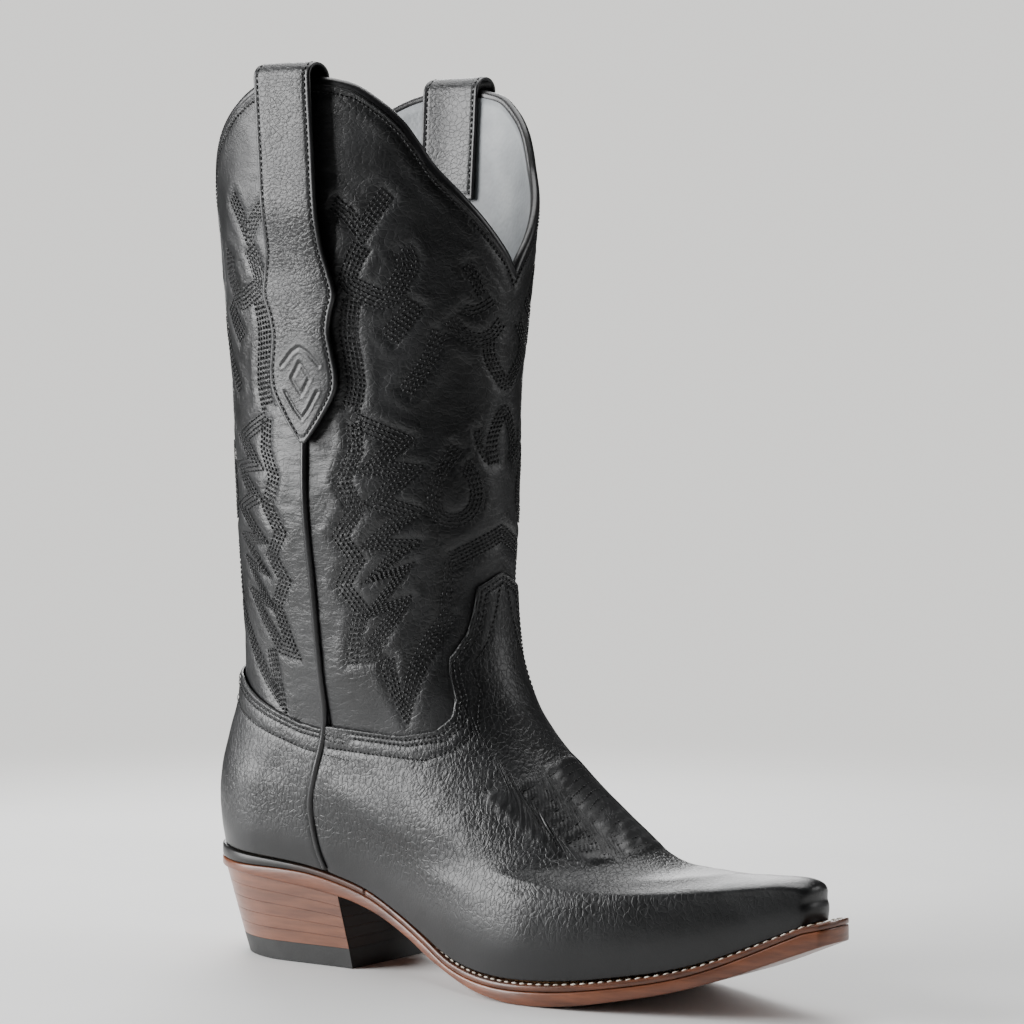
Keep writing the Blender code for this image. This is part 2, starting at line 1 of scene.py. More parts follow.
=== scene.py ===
"""A right cowboy boot in black leather on a stacked leather heel, shown on a pale floor.

Sizes are in millimetres and are turned to metres when a vertex is placed.
"""
import math

import bmesh
import bpy
import numpy as np
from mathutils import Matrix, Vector, noise
from mathutils.kdtree import KDTree


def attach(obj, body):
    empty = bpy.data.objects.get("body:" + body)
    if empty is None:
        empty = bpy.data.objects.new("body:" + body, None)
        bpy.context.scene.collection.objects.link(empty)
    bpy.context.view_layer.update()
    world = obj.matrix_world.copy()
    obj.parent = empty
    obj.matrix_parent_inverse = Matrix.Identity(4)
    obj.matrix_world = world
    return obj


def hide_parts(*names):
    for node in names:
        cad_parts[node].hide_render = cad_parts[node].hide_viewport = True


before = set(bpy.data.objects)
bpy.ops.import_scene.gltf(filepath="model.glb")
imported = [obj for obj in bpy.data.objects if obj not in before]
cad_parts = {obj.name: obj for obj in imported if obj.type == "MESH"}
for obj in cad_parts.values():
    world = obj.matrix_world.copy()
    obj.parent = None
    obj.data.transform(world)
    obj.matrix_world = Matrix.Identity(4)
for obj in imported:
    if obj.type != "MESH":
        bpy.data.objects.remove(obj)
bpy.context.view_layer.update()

MM = 0.001
MERGE_GAP = 1e-7


# ---- The last, and the shaft's two leather panels -------------------------------------------
# The shaft is black cowhide in a front and a back panel. Both are cut to the scalloped top
# line, sewn with rows of black thread, and closed on each side over a piped seam.

# Each row is one ring round the last, from the feather line to the top of the shaft: ring
# number, front x, front z, lean of the front in degrees, back x, back z, length of the front
# round and of the back round, then half widths at the heel, waist, ball and toe stations.
LAST = (
    (0, 227.5, 40, 0, -79, 49, 4, 38, 30.5, 28, 43.5, 10),
    (1, 227.5, 48, 0, -80.5, 59, 4, 40, 32.5, 30, 46.2, 10),
    (2, 223.5, 55, 45, -81.5, 70, 12, 42, 33, 32, 44.6, 9),
    (3, 187, 53, 85, -80.5, 84, 76, 44, 33, 34, 40.5, 11),
    (4, 150, 57, 72, -77.5, 98, 84, 46, 32, 36, 38.5, 21),
    (5, 96, 97, 42, -72.5, 116, 94, 50, 32, 35, 41.5, 38),
    (6, 72, 130, 15, -71.5, 140, 80, 60, 35, 42, 43, 44),
    (7, 67, 165, 3, -71.5, 170, 71, 68, 42, 44, 46, 46),
    (8, 68.5, 205, 0, -72, 205, 70, 70, 47.5, 47.5, 47.5, 47.5),
    (9, 70, 250, 0, -74.5, 250, 72, 72, 47.5, 47.5, 47.5, 47.5),
    (10, 76, 310, 0, -79, 310, 77.5, 77.5, 52.5, 52.5, 52.5, 52.5),
    (11, 84, 390, 0, -86, 390, 85, 85, 58, 58, 58, 58),
)
STATIONS = np.array((-45, 30, 115, 220))
ANKLE_RING = 7
INFLARE = 4
INFLARE_CENTRE = 115
INFLARE_REACH = 85
MIDDLE_OF_LENGTH = 78
FEATHER = ((-79, 49), (-60, 47), (-20, 44), (0, 40.5), (18, 35.5), (35, 28), (54, 19.5),
           (70, 13), (90, 9.5), (115, 9), (146, 12), (185, 20.5), (229, 40))
SEAM = ((0, -4.5), (1, -8), (2.4, -10), (3.6, -8.5), (4.3, -6), (5, -2.5), (6, -1.5), (7.5, -1.8),
        (9, -2.2), (11, -2))
TOP_LINE = ((0, 299), (5, 306), (13, 314), (22, 323), (32, 333), (42, 344), (48, 354), (53, 362),
            (60, 370), (70, 378), (90, 381.7), (104, 379), (116, 372), (126, 364), (136, 354),
            (148, 338), (158, 326), (168, 315), (175, 308), (180, 302))
VAMP_TOP = ((0, 174), (4, 173), (17, 168), (20, 157), (24, 148), (35, 137), (37, 122), (43, 113),
            (53, 107), (68, 104), (100, 106))
COUNTER_TOP = ((80, 103), (95, 103), (110, 106), (124, 112), (148, 123), (180, 129))


def hermite(start, end, slope_start, slope_end, span, share):
    square = share * share
    cube = square * share
    return ((2 * cube - 3 * square + 1) * start + (cube - 2 * square + share) * span * slope_start
            + (3 * square - 2 * cube) * end + (cube - square) * span * slope_end)


def smooth_curve(points, place):
    """Values at some places on the smooth curve through a few (place, value, ...) points."""
    table = np.array(points, float)
    places, values = table[:, 0], table[:, 1:]
    place = np.asarray(place, float)
    number = np.arange(len(table))
    low, high = np.maximum(number - 1, 0), np.minimum(number + 1, len(table) - 1)
    slopes = (values[high] - values[low]) / (places[high] - places[low])[:, None]
    index = np.clip(np.searchsorted(places, place) - 1, 0, len(table) - 2)
    span = (places[index + 1] - places[index])[..., None]
    share = np.clip((place - places[index])[..., None] / span, 0, 1)
    made = hermite(values[index], values[index + 1], slopes[index], slopes[index + 1], span, share)
    return made[..., 0] if values.shape[1] == 1 else made


def straight_line(points, place):
    table = np.array(points, float)
    return np.interp(place, table[:, 0], table[:, 1])


def smooth_step(low, high, value):
    share = np.clip((value - low) / (high - low), 0, 1)
    return share * share * (3 - 2 * share)


def round_end(share):
    return np.sqrt(1 - (1 - np.clip(share, 0, 1)) ** 2)


def plan_width(widths, x):
    """Half width at x of a plan through half widths at the four stations."""
    widths = np.broadcast_to(np.asarray(widths, float), (*np.shape(x), 4))
    spans = np.diff(STATIONS)
    heel, waist, ball, toe = np.moveaxis(widths, -1, 0)
    slopes = np.stack((0 * heel, (ball - heel) / (spans[0] + spans[1]),
                       (toe - waist) / (spans[1] + spans[2]), (toe - ball) / spans[2]), -1)
    index = np.clip(np.searchsorted(STATIONS, x) - 1, 0, 2)
    share = np.clip((x - STATIONS[index]) / spans[index], 0, 1)

    def pick(values, number):
        return np.take_along_axis(values, np.asarray(number)[..., None], -1)[..., 0]
    width = hermite(pick(widths, index), pick(widths, index + 1), pick(slopes, index),
                    pick(slopes, index + 1), spans[index], share)
    return width + (toe - ball) / spans[2] * np.maximum(x - STATIONS[3], 0)


def inflare(x):
    """How much further the big-toe side reaches than the little-toe side."""
    reach = np.clip((x - INFLARE_CENTRE) / INFLARE_REACH, -1, 1)
    return INFLARE * np.cos(reach * math.pi / 2) ** 2


def on_last(angle, ring, depth=0.0):
    """Points at angles from the front, in degrees (inner side positive), on rings, in metres."""
    angle, ring, depth = np.broadcast_arrays(*(np.asarray(a, float) for a in (angle, ring, depth)))
    row = np.moveaxis(smooth_curve(LAST, ring), -1, 0)
    lean = np.radians(row[2])
    front, front_z = row[0] - depth * np.cos(lean), row[1] - depth * np.sin(lean)
    back, back_z = row[3] + depth, row[4]
    share = (1 + np.cos(np.radians(angle))) / 2
    x = back + (front - back) * share
    fade = np.maximum(1 - ring / ANKLE_RING, 0)
    rounding = round_end((front - x) / row[5])
    width = plan_width(np.moveaxis(row[7:], 0, -1) - depth[..., None], x)
    width = width * round_end((x - back) / row[6]) * rounding
    width = width + np.where(angle > 0, inflare(x) * fade * rounding, 0)
    first, last = FEATHER[0], FEATHER[-1]
    along = first[0] + (last[0] - first[0]) * share
    chord = first[1] + (last[1] - first[1]) * share
    z = back_z + (front_z - back_z) * share + fade ** 1.5 * (smooth_curve(FEATHER, along) - chord)
    turned = (angle + 180) % 360 - 180
    side = np.where(np.abs(np.sin(np.radians(turned))) < 1e-9, 0, np.sign(turned))
    return np.stack((x - MIDDLE_OF_LENGTH, side * width, z), -1) * MM


def ring_at(angle, height):
    """The rings that pass heights at angles, found by halving."""
    low, high = np.full(np.shape(angle), 3.5), np.full(np.shape(angle), LAST[-1][0] * 1.0)
    for _ in range(24):
        middle = (low + high) / 2
        below = on_last(angle, middle)[..., 2] / MM < height
        low, high = np.where(below, middle, low), np.where(below, high, middle)
    return (low + high) / 2


def seam_angle(ring):
    row = np.moveaxis(smooth_curve(LAST, ring), -1, 0)
    share = (smooth_curve(SEAM, ring) - row[3]) / (row[0] - row[3])
    return np.degrees(np.arccos(2 * share - 1))


def folded(angle):
    """How far an angle is from the front, on either side."""
    return np.abs((np.asarray(angle) + 180) % 360 - 180)


def outward(angle, ring):
    """Directions straight out of the last."""
    out = on_last(angle, ring, -1.0) - on_last(angle, ring, 1.0)
    return out / np.maximum(np.linalg.norm(out, axis=-1, keepdims=True), 1e-9)


def unevenness(points, size, shift=0.0):
    """Smooth random values that change over a size in millimetres."""
    scaled = points / (size * MM) + shift
    return np.array([noise.noise(Vector(place)) for place in scaled])


def wander(points, layers):
    """Uneven relief from layers of (depth, size), both in millimetres."""
    return sum(depth * unevenness(points, size) for depth, size in layers)


def bell(gap, width):
    """1 where a gap is nil, falling away smoothly over a width."""
    return np.exp(-(gap / width) ** 2)


def linear(hex_colour):
    """An sRGB hex colour as the linear values a shader takes."""
    parts = [int(hex_colour[i:i + 2], 16) / 255 for i in (1, 3, 5)]
    return (*(p / 12.92 if p <= 0.04045 else ((p + 0.055) / 1.055) ** 2.4 for p in parts), 1)


def feed(material, socket, value):
    """Links another node's output to a socket, or sets the socket to a plain value."""
    if isinstance(value, bpy.types.NodeSocket):
        material.node_tree.links.new(value, socket)
    else:
        socket.default_value = value


def add(material, kind, inputs=None, **settings):
    """Adds a node, with its settings, and values or links for its inputs."""
    node = material.node_tree.nodes.new("ShaderNode" + kind)
    for key, value in settings.items():
        setattr(node, key, value)
    for key, value in (inputs or {}).items():
        feed(material, node.inputs[key], value)
    return node


def finish(material, shader, relief, depth, strength, inputs):
    """Gives a shader a relief, its depth in millimetres, and values or links for its inputs."""
    bump = add(material, "Bump", {"Height": relief, "Distance": MM * depth, "Strength": strength})
    for key, value in {"Normal": bump.outputs[0], **inputs}.items():
        feed(material, shader.inputs[key], value)
    return material


def blank(name):
    """A new material with its shader, and its Object coordinates."""
    material = bpy.data.materials.new(name)
    material.use_nodes = True
    shader = material.node_tree.nodes["Principled BSDF"]
    place = add(material, "TexCoord").outputs["Object"]
    return material, shader, place


def ramp(material, factor, stops):
    """A run of colours over a factor, from (position, hex) pairs."""
    node = add(material, "ValToRGB", {"Fac": factor})
    steps = node.color_ramp.elements
    while len(steps) < len(stops):
        steps.new(0.5)
    for step, (position, colour) in zip(steps, stops):
        step.position = position
        step.color = linear(colour)
    return node.outputs["Color"]


def black_leather(name, cell, stretch, grain, wrinkle, roughness, shade="#1a1b1d"):
    """Chrome-tanned black cowhide with a waxed finish: a soft sheen over a pebbled grain.

    cell is the width of a pebble in millimetres, stretch draws the pebbles out along an axis, and
    grain and wrinkle are relief depths in millimetres.
    """
    material, shader, place = blank(name)
    # The hide is drawn over the last, so its pebbles lie in lines that bend and swell.
    warp = add(material, "TexNoise", {"Vector": place, "Scale": 45, "Detail": 3})
    bent = add(material, "VectorMath", {0: warp.outputs["Color"], 1: (0.5, 0.5, 0.5)},
               operation="SUBTRACT")
    shifted = add(material, "VectorMath", {0: bent.outputs[0], 1: (0.008, 0.008, 0.008), 2: place},
                  operation="MULTIPLY_ADD")
    drawn = add(material, "Mapping", {"Vector": shifted.outputs[0], "Scale": stretch})
    pebbles = add(material, "TexVoronoi", {"Vector": drawn.outputs[0], "Scale": 1 / (cell * MM),
                                           "Smoothness": 0.3}, feature="SMOOTH_F1")
    creases = add(material, "TexVoronoi", {"Vector": drawn.outputs[0], "Scale": 0.6 / (cell * MM)},
                  feature="DISTANCE_TO_EDGE")
    crease = add(material, "MapRange", {"Value": creases.outputs["Distance"], "From Max": 0.09})
    # Wrinkles run round the shaft, so the pattern is squeezed in height.
    squeeze = add(material, "Mapping", {"Vector": shifted.outputs[0], "Scale": (0.3, 0.3, 1)})
    lines = add(material, "TexNoise", {"Vector": squeeze.outputs[0], "Scale": 420, "Detail": 3,
                                       "Roughness": 0.55, "Distortion": 0.5})
    near = add(material, "Attribute", attribute_name="wrinkle")
    worn = add(material, "Attribute", attribute_name="grain")
    pores = add(material, "TexNoise", {"Vector": place, "Scale": 1500, "Detail": 2})
    grained = add(material, "Math", {0: pebbles.outputs["Distance"], 1: -grain}, operation="MULTIPLY")
    creased = add(material, "Math", {0: crease.outputs[0], 1: grain * 0.45, 2: grained.outputs[0]},
                  operation="MULTIPLY_ADD")
    graded = add(material, "Math", {0: creased.outputs[0], 1: worn.outputs["Fac"]}, operation="MULTIPLY")
    lined = add(material, "Math", {0: lines.outputs["Fac"], 1: wrinkle}, operation="MULTIPLY")
    ruled = add(material, "Math", {0: lined.outputs[0], 1: near.outputs["Fac"], 2: graded.outputs[0]},
                operation="MULTIPLY_ADD")
    fined = add(material, "Math", {0: pores.outputs["Fac"], 1: 0.04, 2: ruled.outputs[0]},
                operation="MULTIPLY_ADD")
    # Wax gathers in the creases and is rubbed off the raised skin.
    cloud = add(material, "TexNoise", {"Vector": place, "Scale": 35, "Detail": 4, "Roughness": 0.6})
    shine = add(material, "MapRange", {"Value": cloud.outputs["Fac"], "From Min": 0.3, "From Max": 0.7,
                                       "To Min": roughness - 0.05, "To Max": roughness + 0.07})
    tone = ramp(material, cloud.outputs["Fac"], ((0.3, "#0c0d0e"), (0.72, shade)))
    return finish(material, shader, fined.outputs[0], 1, 1,
                  {"Base Color": tone, "Roughness": shine.outputs[0], "IOR": 1.5, "Coat Weight": 0.15,
                   "Coat Roughness": 0.3})


def show(name, builder, material, nodes, smooth=True):
    """Puts a finished bmesh in the scene as one piece that stands for some CAD nodes."""
    mesh = bpy.data.meshes.new(name)
    builder.to_mesh(mesh)
    builder.free()
    for polygon in mesh.polygons:
        polygon.use_smooth = smooth
    mesh.materials.append(material)
    piece = bpy.data.objects.new(name, mesh)
    bpy.context.scene.collection.objects.link(piece)
    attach(piece, "root")
    if nodes:
        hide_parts(*nodes)
    return piece


def grid(columns, rows):
    """A flat net of faces, and where its points lie on it, from 0 to 1 both ways."""
    builder = bmesh.new()
    bmesh.ops.create_grid(builder, x_segments=columns, y_segments=rows, size=0.5)
    return builder, np.array([vertex.co for vertex in builder.verts]) + 0.5


def close_up(builder, points, merge=MERGE_GAP, hole_sides=0):
    """Moves a net's points into place, closes it along its edges and turns its faces outwards."""
    for vertex, point in zip(builder.verts, points):
        vertex.co = point
    bmesh.ops.remove_doubles(builder, verts=builder.verts, dist=merge)
    if hole_sides:
        bmesh.ops.holes_fill(builder, edges=builder.edges, sides=hole_sides)
    bmesh.ops.recalc_face_normals(builder, faces=builder.faces)
    if builder.calc_volume(signed=True) < 0:
        bmesh.ops.reverse_faces(builder, faces=builder.faces)
    return builder


def cut_sheet(columns, rows, place):
    """A thick sheet: place(across, up, face) gives its points, on its inner (0) and outer (1) face."""
    builder, _ = grid(columns, rows)
    made = bmesh.ops.extrude_face_region(builder, geom=builder.faces[:], use_keep_orig=True)
    risen = [item for item in made["geom"] if isinstance(item, bmesh.types.BMVert)]
    bmesh.ops.translate(builder, verts=risen, vec=(0, 0, 1))
    spots = np.array([vertex.co for vertex in builder.verts])
    placed, values = place(spots[:, 0] + 0.5, spots[:, 1] + 0.5, spots[:, 2])
    for key, value in values.items():
        layer = builder.verts.layers.float.new(key)
        for vertex, amount in zip(builder.verts, value):
            vertex[layer] = amount
    return close_up(builder, placed)


def crowd(share, power=1.35):
    """Shares from 0 to 1, closer together at both ends."""
    away = 2 * share - 1
    return 0.5 + np.sign(away) * (1 - (1 - np.abs(away)) ** power) / 2


THREAD_STEP = 1.0
SHARPEST_MITRE = 0.35
POINTS_PER_CORNER = 6


def row_of(corners, shift):
    """A line of thread through (angle, height) corners, moved sideways by shift millimetres.

    Gives the angles and heights of points THREAD_STEP apart.
    """
    corners = np.array(corners, float)
    angle, height = corners[:, 0], corners[:, 1]
    ring = ring_at(angle, height)
    spread = np.linalg.norm(on_last(angle + 0.5, ring) - on_last(angle - 0.5, ring), axis=1) / MM
    run = np.diff(corners, axis=0)
    run[:, 0] *= (spread[1:] + spread[:-1]) / 2
    lengths = np.linalg.norm(run, axis=1)
    ways = run / lengths[:, None]
    before, after = np.vstack((ways[:1], ways)), np.vstack((ways, ways[-1:]))
    mitre = np.stack((-(before + after)[:, 1], (before + after)[:, 0]), 1)
    square = np.sum(mitre * np.stack((-before[:, 1], before[:, 0]), 1), axis=1)
    mitre /= np.maximum(square, SHARPEST_MITRE)[:, None]
    angle = angle + shift * mitre[:, 0] / spread
    height = height + shift * mitre[:, 1]
    travel = np.concatenate(([0], np.cumsum(lengths)))
    places = np.arange(0, travel[-1], THREAD_STEP)
    return np.interp(places, travel, angle), np.interp(places, travel, height)


def rounded_line(corners):
    """A curved line through a few corners."""
    corners = np.array(corners, float)
    steps = np.linalg.norm(np.diff(corners, axis=0), axis=1)
    travel = np.concatenate(([0], np.cumsum(steps)))
    places = np.linspace(0, travel[-1], POINTS_PER_CORNER * len(corners))
    return smooth_curve(np.column_stack((travel, corners)), places)


# The sewn pattern on one side of the front: number of rows, their spacing, whether the line is
# curved, and its corners at (angle from the front, height). A line that ends at angle 0 carries
# on as its own mirror image. Flames stand beside the side seam, and leaves in the middle.
PATTERN = (
    (4, 1.9, False, ((-76, 331), (-71, 326), (-66, 318), (-61, 328.5), (-57, 335))),
    (5, 1.9, True, ((-66, 313), (-69, 306), (-71, 297.5), (-65, 293), (-57.5, 290), (-53, 296.5),
                    (-49.5, 305), (-52, 312))),
    (5, 1.9, True, ((-46.5, 289), (-51, 281), (-56.5, 274))),
    (4, 1.9, True, ((-36.5, 277), (-39, 269), (-43.5, 260), (-50, 251))),
    (5, 1.9, True, ((-70, 290), (-71.5, 277), (-70, 264.5), (-69, 253.5), (-71, 243))),
    (4, 2.0, False, ((-70, 239), (-51.5, 230.5), (-62, 219), (-48, 217.5), (-61, 204.5), (-47.5, 200),
                     (-63, 186.5), (-49, 186), (-64, 171.5), (-50, 176), (-64.5, 157.5), (-52, 161.5),
                     (-68, 139), (-75, 138), (-69, 158), (-76, 168.5), (-69.5, 179.5), (-76, 189.5),
                     (-69, 201), (-74, 213.5), (-69, 226), (-70, 239))),
    (4, 1.9, False, ((-30.5, 157.5), (-40.5, 146), (-48, 135.5), (-62, 114), (-61.5, 126.5),
                     (-61, 139))),
    (3, 1.8, True, ((-30, 179.5), (-31, 170.5), (-33, 160.5))),
    (4, 1.7, True, ((-13.5, 274), (-12.5, 266.5), (-8, 260.5), (0, 254.5))),
    (4, 1.7, True, ((-32.5, 282), (-27.5, 276), (-20, 273), (-12.5, 275), (-6.5, 281))),
    (3, 1.8, True, ((-12.5, 290), (-17.5, 287), (-23.5, 285), (-28.5, 287))),
    (3, 1.8, True, ((-26.5, 305), (-22.5, 298.5), (-18, 291))),
    (4, 1.6, True, ((-7, 220), (-8.5, 228.5), (-6, 236), (0, 242.5))),
    (2, 1.8, True, ((-17.5, 235), (-16, 228.5), (-10, 220))),
    (4, 1.7, True, ((-27.5, 227.5), (-32, 221), (-36, 214), (-37.5, 205.5), (-35, 198.5), (-28, 196.5),
                    (-21, 199.5), (-17.5, 205), (-18, 212.5), (-23.5, 221))),
    (5, 1.6, False, ((-30, 179.5), (-17.5, 184.5), (0, 190.5))),
)
THREAD_DEPTH = -0.15
SHAFT_THICKNESS = 1.5


def thread_rows(line, shifts, depth):
    """Each row of thread as points on the leather and the directions out of it."""
    rows = []
    for shift in shifts:
        angle, height = row_of(line, shift)
        ring = ring_at(angle, height)
        rows.append((on_last(angle, ring, depth), outward(angle, ring)))
    return rows


STITCH_FILL = 0.86
STITCH_FLAT = 0.8


def sewn(name, rows, pitch, thread, material, lift=0.0):
    """Sewing thread: one small pillow of thread for each stitch along each row of points."""
    centres, ways, outs = [], [], []
    for points, normals in rows:
        travel = np.concatenate(([0], np.cumsum(np.linalg.norm(np.diff(points, axis=0), axis=1)))) / MM
        places = np.arange(pitch / 2, travel[-1], pitch)
        if not len(places):
            continue

        def at(places, values):
            return np.stack([np.interp(places, travel, values[:, k]) for k in range(3)], 1)
        way = at(places + pitch / 4, points) - at(places - pitch / 4, points)
        centres.append(at(places, points))
        ways.append(way / np.maximum(np.linalg.norm(way, axis=1, keepdims=True), 1e-9))
        outs.append(at(places, normals))
    centres, ways, outs = np.vstack(centres), np.vstack(ways), np.vstack(outs)
    sides = np.cross(outs, ways)
    builder = bmesh.new()
    bmesh.ops.create_icosphere(builder, subdivisions=1, radius=1)
    pillow = np.array([vertex.co for vertex in builder.verts])
    made = 1
    while made < len(centres):
        more = min(made, len(centres) - made)
        copied = []
        for part in (builder.verts[:], builder.edges[:], builder.faces[:]):
            copied += part[:len(part) // made * more]
        bmesh.ops.duplicate(builder, geom=copied)
        made += more
    length, width, height = (size * MM / 2 for size in (pitch * STITCH_FILL, thread, thread * STITCH_FLAT))
    spots = (centres[:, None] + pillow[None, :, :1] * length * ways[:, None]
             + pillow[None, :, 1:2] * width * sides[:, None]
             + (pillow[None, :, 2:] * height + lift * MM) * outs[:, None]).reshape(-1, 3)
    for vertex, spot in zip(builder.verts, spots):
        vertex.co = spot
    return show(name, builder, material, ())


def nearest(points, rows, reach):
    """Distance in millimetres from each point to the nearest row of thread, up to a reach."""
    spots = np.vstack([row[0] for row in rows])
    tree = KDTree(len(spots))
    for number, spot in enumerate(spots):
        tree.insert(spot, number)
    tree.balance()
    return np.minimum(np.array([tree.find(point)[2] for point in points]) / MM, reach)


SEAM_ROLL = 1.3
SEAM_ROLL_WIDTH = 2.6
# Roughly how far it is round the leather from the middle of a panel to its seam.
SEAM_REACH = 96
NEAR_REACH = 20


def seam_drop(from_seam):
    """How far a turned seam edge rolls inward beside the piping."""
    return SEAM_ROLL * (1 - round_end(from_seam / SEAM_ROLL_WIDTH))


def thread_black():
    material, shader, place = blank("bonded_nylon_thread_black")
    # Twisted thread: the lay shows as a fine slanting ribbing, drawn at twice its real size.
    twist = add(material, "TexWave", {"Vector": place, "Scale": 900, "Distortion": 2})
    return finish(material, shader, twist.outputs["Fac"], 0.1, 0.5,
                  {"Base Color": linear("#0f1012"), "Roughness": 0.42})


BLACK_THREAD = thread_black()
SHAFT_LEATHER = black_leather("waxed_cowhide_shaft", 1.6, (0.8, 0.8, 1), 0.17, 0.35, 0.43)
SHAFT_COLUMNS, SHAFT_ROWS = 176, 210
# How far the shaft carries on down below the edge of the vamp and the counter.
LAP = 9
EDGE_ROW_DROP = 3.2
SHAFT_WANDER = ((0.4, 34), (0.16, 10))
# How the leather swells beside the sewn lines and is drawn in along them.
SWELL, SWELL_FROM, SWELL_WIDTH = 0.26, 4.5, 2.6
DRAW_IN, DRAW_IN_WIDTH = 0.35, 1.5
WRINKLE_DEPTH, WRINKLE_SIZE = 0.24, 3.4
for end, middle, line in (("front", 0, VAMP_TOP), ("back", 180, COUNTER_TOP)):
    rows = []
    for count, spacing, curved, corners in PATTERN:
        corners = list(corners)
        if corners[-1][0] == 0:
            corners += [(-angle, height) for angle, height in corners[-2::-1]]
            sides = (1,)
        else:
            sides = (1, -1)
        drawn = rounded_line(corners) if curved else np.array(corners, float)
        for side in sides:
            turned = drawn * (side, 1)
            if middle:
                turned[:, 0] = 180 - turned[:, 0]
            rows += thread_rows(turned, (np.arange(count) - (count - 1) / 2) * spacing, THREAD_DEPTH)
    edge_angles = np.linspace(middle - 88, middle + 88, 260)
    edge_heights = smooth_curve(TOP_LINE, folded(edge_angles)) - EDGE_ROW_DROP
    edge_rings = ring_at(edge_angles, edge_heights)
    rows.append((on_last(edge_angles, edge_rings, THREAD_DEPTH), outward(edge_angles, edge_rings)))

    def place(across, up, face, middle=middle, line=line, rows=rows):
        away = 2 * crowd(across) - 1
        angle = middle + away * 90
        low = straight_line(line, folded(angle)) - LAP
        high = smooth_curve(TOP_LINE, folded(angle))
        height = low + (high - low) * up
        ring = ring_at(angle, height)
        half = seam_angle(ring) if middle == 0 else 180 - seam_angle(ring)
        angle = middle + half * away
        high = smooth_curve(TOP_LINE, folded(angle))
        height = low + (high - low) * up
        ring = ring_at(angle, height)
        skin = on_last(angle, ring)
        from_seam = (1 - np.abs(away)) * SEAM_REACH
        near = nearest(skin, rows, NEAR_REACH)
        relief = wander(skin, SHAFT_WANDER) + SWELL * bell(near - SWELL_FROM, SWELL_WIDTH)
        relief -= DRAW_IN * bell(near, DRAW_IN_WIDTH)
        wrinkle = smooth_step(34, 12, from_seam) * smooth_step(100, 125, height)
        wrinkle = np.maximum(wrinkle * smooth_step(372, 340, height), 0.25)
        relief += WRINKLE_DEPTH * wrinkle * unevenness(skin * (0.3, 0.3, 1), WRINKLE_SIZE)
        relief -= seam_drop(from_seam)
        depth = np.where(face > 0.5, -relief, SHAFT_THICKNESS + seam_drop(from_seam))
        values = {"wrinkle": wrinkle, "grain": 0.45 + 0.55 * bell(near, 6)}
        return on_last(angle, ring, depth), values
    panel = cut_sheet(SHAFT_COLUMNS, SHAFT_ROWS, place)
    show("shaft_panel_" + end, panel, SHAFT_LEATHER, ["shaft_" + end])
    sewn("shaft_stitching_" + end, rows, 2.2, 0.85, BLACK_THREAD, lift=0.05)


# ---- Lining ---------------------------------------------------------------------------------
# The shaft is lined with soft pigskin, dyed silver grey, cut like the shaft in two panels and
# glued to it. It shows at the open top.
def silver_lining():
    material, shader, place = blank("pigskin_lining_silver")
    cloud = add(material, "TexNoise", {"Vector": place, "Scale": 28, "Detail": 5, "Roughness": 0.62})
    pores = add(material, "TexVoronoi", {"Vector": place, "Scale": 520}, feature="SMOOTH_F1")
    tone = ramp(material, cloud.outputs["Fac"], ((0.28, "#7d8184"), (0.5, "#989c9f"), (0.72, "#aeb2b3")))
    return finish(material, shader, pores.outputs["Distance"], 0.25, 0.6,
                  {"Base Color": tone, "Roughness": 0.5, "Sheen Weight": 0.15})


LINING_LEATHER = silver_lining()
LINING_FACES = (3.6, 2.4)
LINING_JOIN = 5.1
LINING_COLUMNS, LINING_ROWS = 110, 120
for end, middle in (("front", 0), ("back", 180)):
    def place(across, up, face, middle=middle):
        away = 2 * across - 1
        angle = middle + away * 90
        top = ring_at(angle, smooth_curve(TOP_LINE, folded(angle)))
        ring = LINING_JOIN + (top - LINING_JOIN) * up
        half = seam_angle(ring) if middle == 0 else 180 - seam_angle(ring)
        angle = middle + half * away * 0.999
        top = ring_at(angle, smooth_curve(TOP_LINE, folded(angle)))
        ring = LINING_JOIN + (top - LINING_JOIN) * up
        relief = 0.35 * unevenness(on_last(angle, ring), 26)
        depth = np.where(face > 0.5, LINING_FACES[1], LINING_FACES[0] + np.minimum(relief, 0.4))
        return on_last(angle, ring, depth), {}
    lining = cut_sheet(LINING_COLUMNS, LINING_ROWS, place)
    show("shaft_lining_panel_" + end, lining, LINING_LEATHER, ["shaft_lining_" + end])


# ---- Piping and top binding -----------------------------------------------------------------
# A cord wrapped in thin black calf fills each side seam, and the scalloped top edge is bound
# with a rolled strip of the same calf.
def calf_piping():
    material, shader, place = blank("calf_piping_black")
    grain = add(material, "TexNoise", {"Vector": place, "Scale": 700, "Detail": 3})
    cloud = add(material, "TexNoise", {"Vector": place, "Scale": 60, "Detail": 3})
    tone = ramp(material, cloud.outputs["Fac"], ((0.35, "#0b0b0d"), (0.7, "#17171a")))
    return finish(material, shader, grain.outputs["Fac"], 0.2, 0.5,
                  {"Base Color": tone, "Roughness": 0.36, "Coat Weight": 0.2, "Coat Roughness": 0.25})


CORD_POINTS = 14


def rolled(points, outs, radii, closed=False):
    """A cord with an oval section that follows a row of points: radii are across and outward."""
    count = len(points)
    spans = count if closed else count - 1
    ways = np.roll(points, -1, 0) - np.roll(points, 1, 0) if closed else np.gradient(points, axis=0)
    ways /= np.linalg.norm(ways, axis=1, keepdims=True)
    sides = np.cross(outs, ways)
    sides /= np.linalg.norm(sides, axis=1, keepdims=True)
    upright = np.cross(ways, sides)
    builder, spots = grid(spans, CORD_POINTS)
    along = np.round(spots[:, 0] * spans).astype(int) % count
    turn = spots[:, 1:2] * 2 * math.pi
    reach = np.cos(turn) * radii[0] * sides[along] + np.sin(turn) * radii[1] * upright[along]
    return close_up(builder, points[along] + reach * MM, hole_sides=CORD_POINTS)


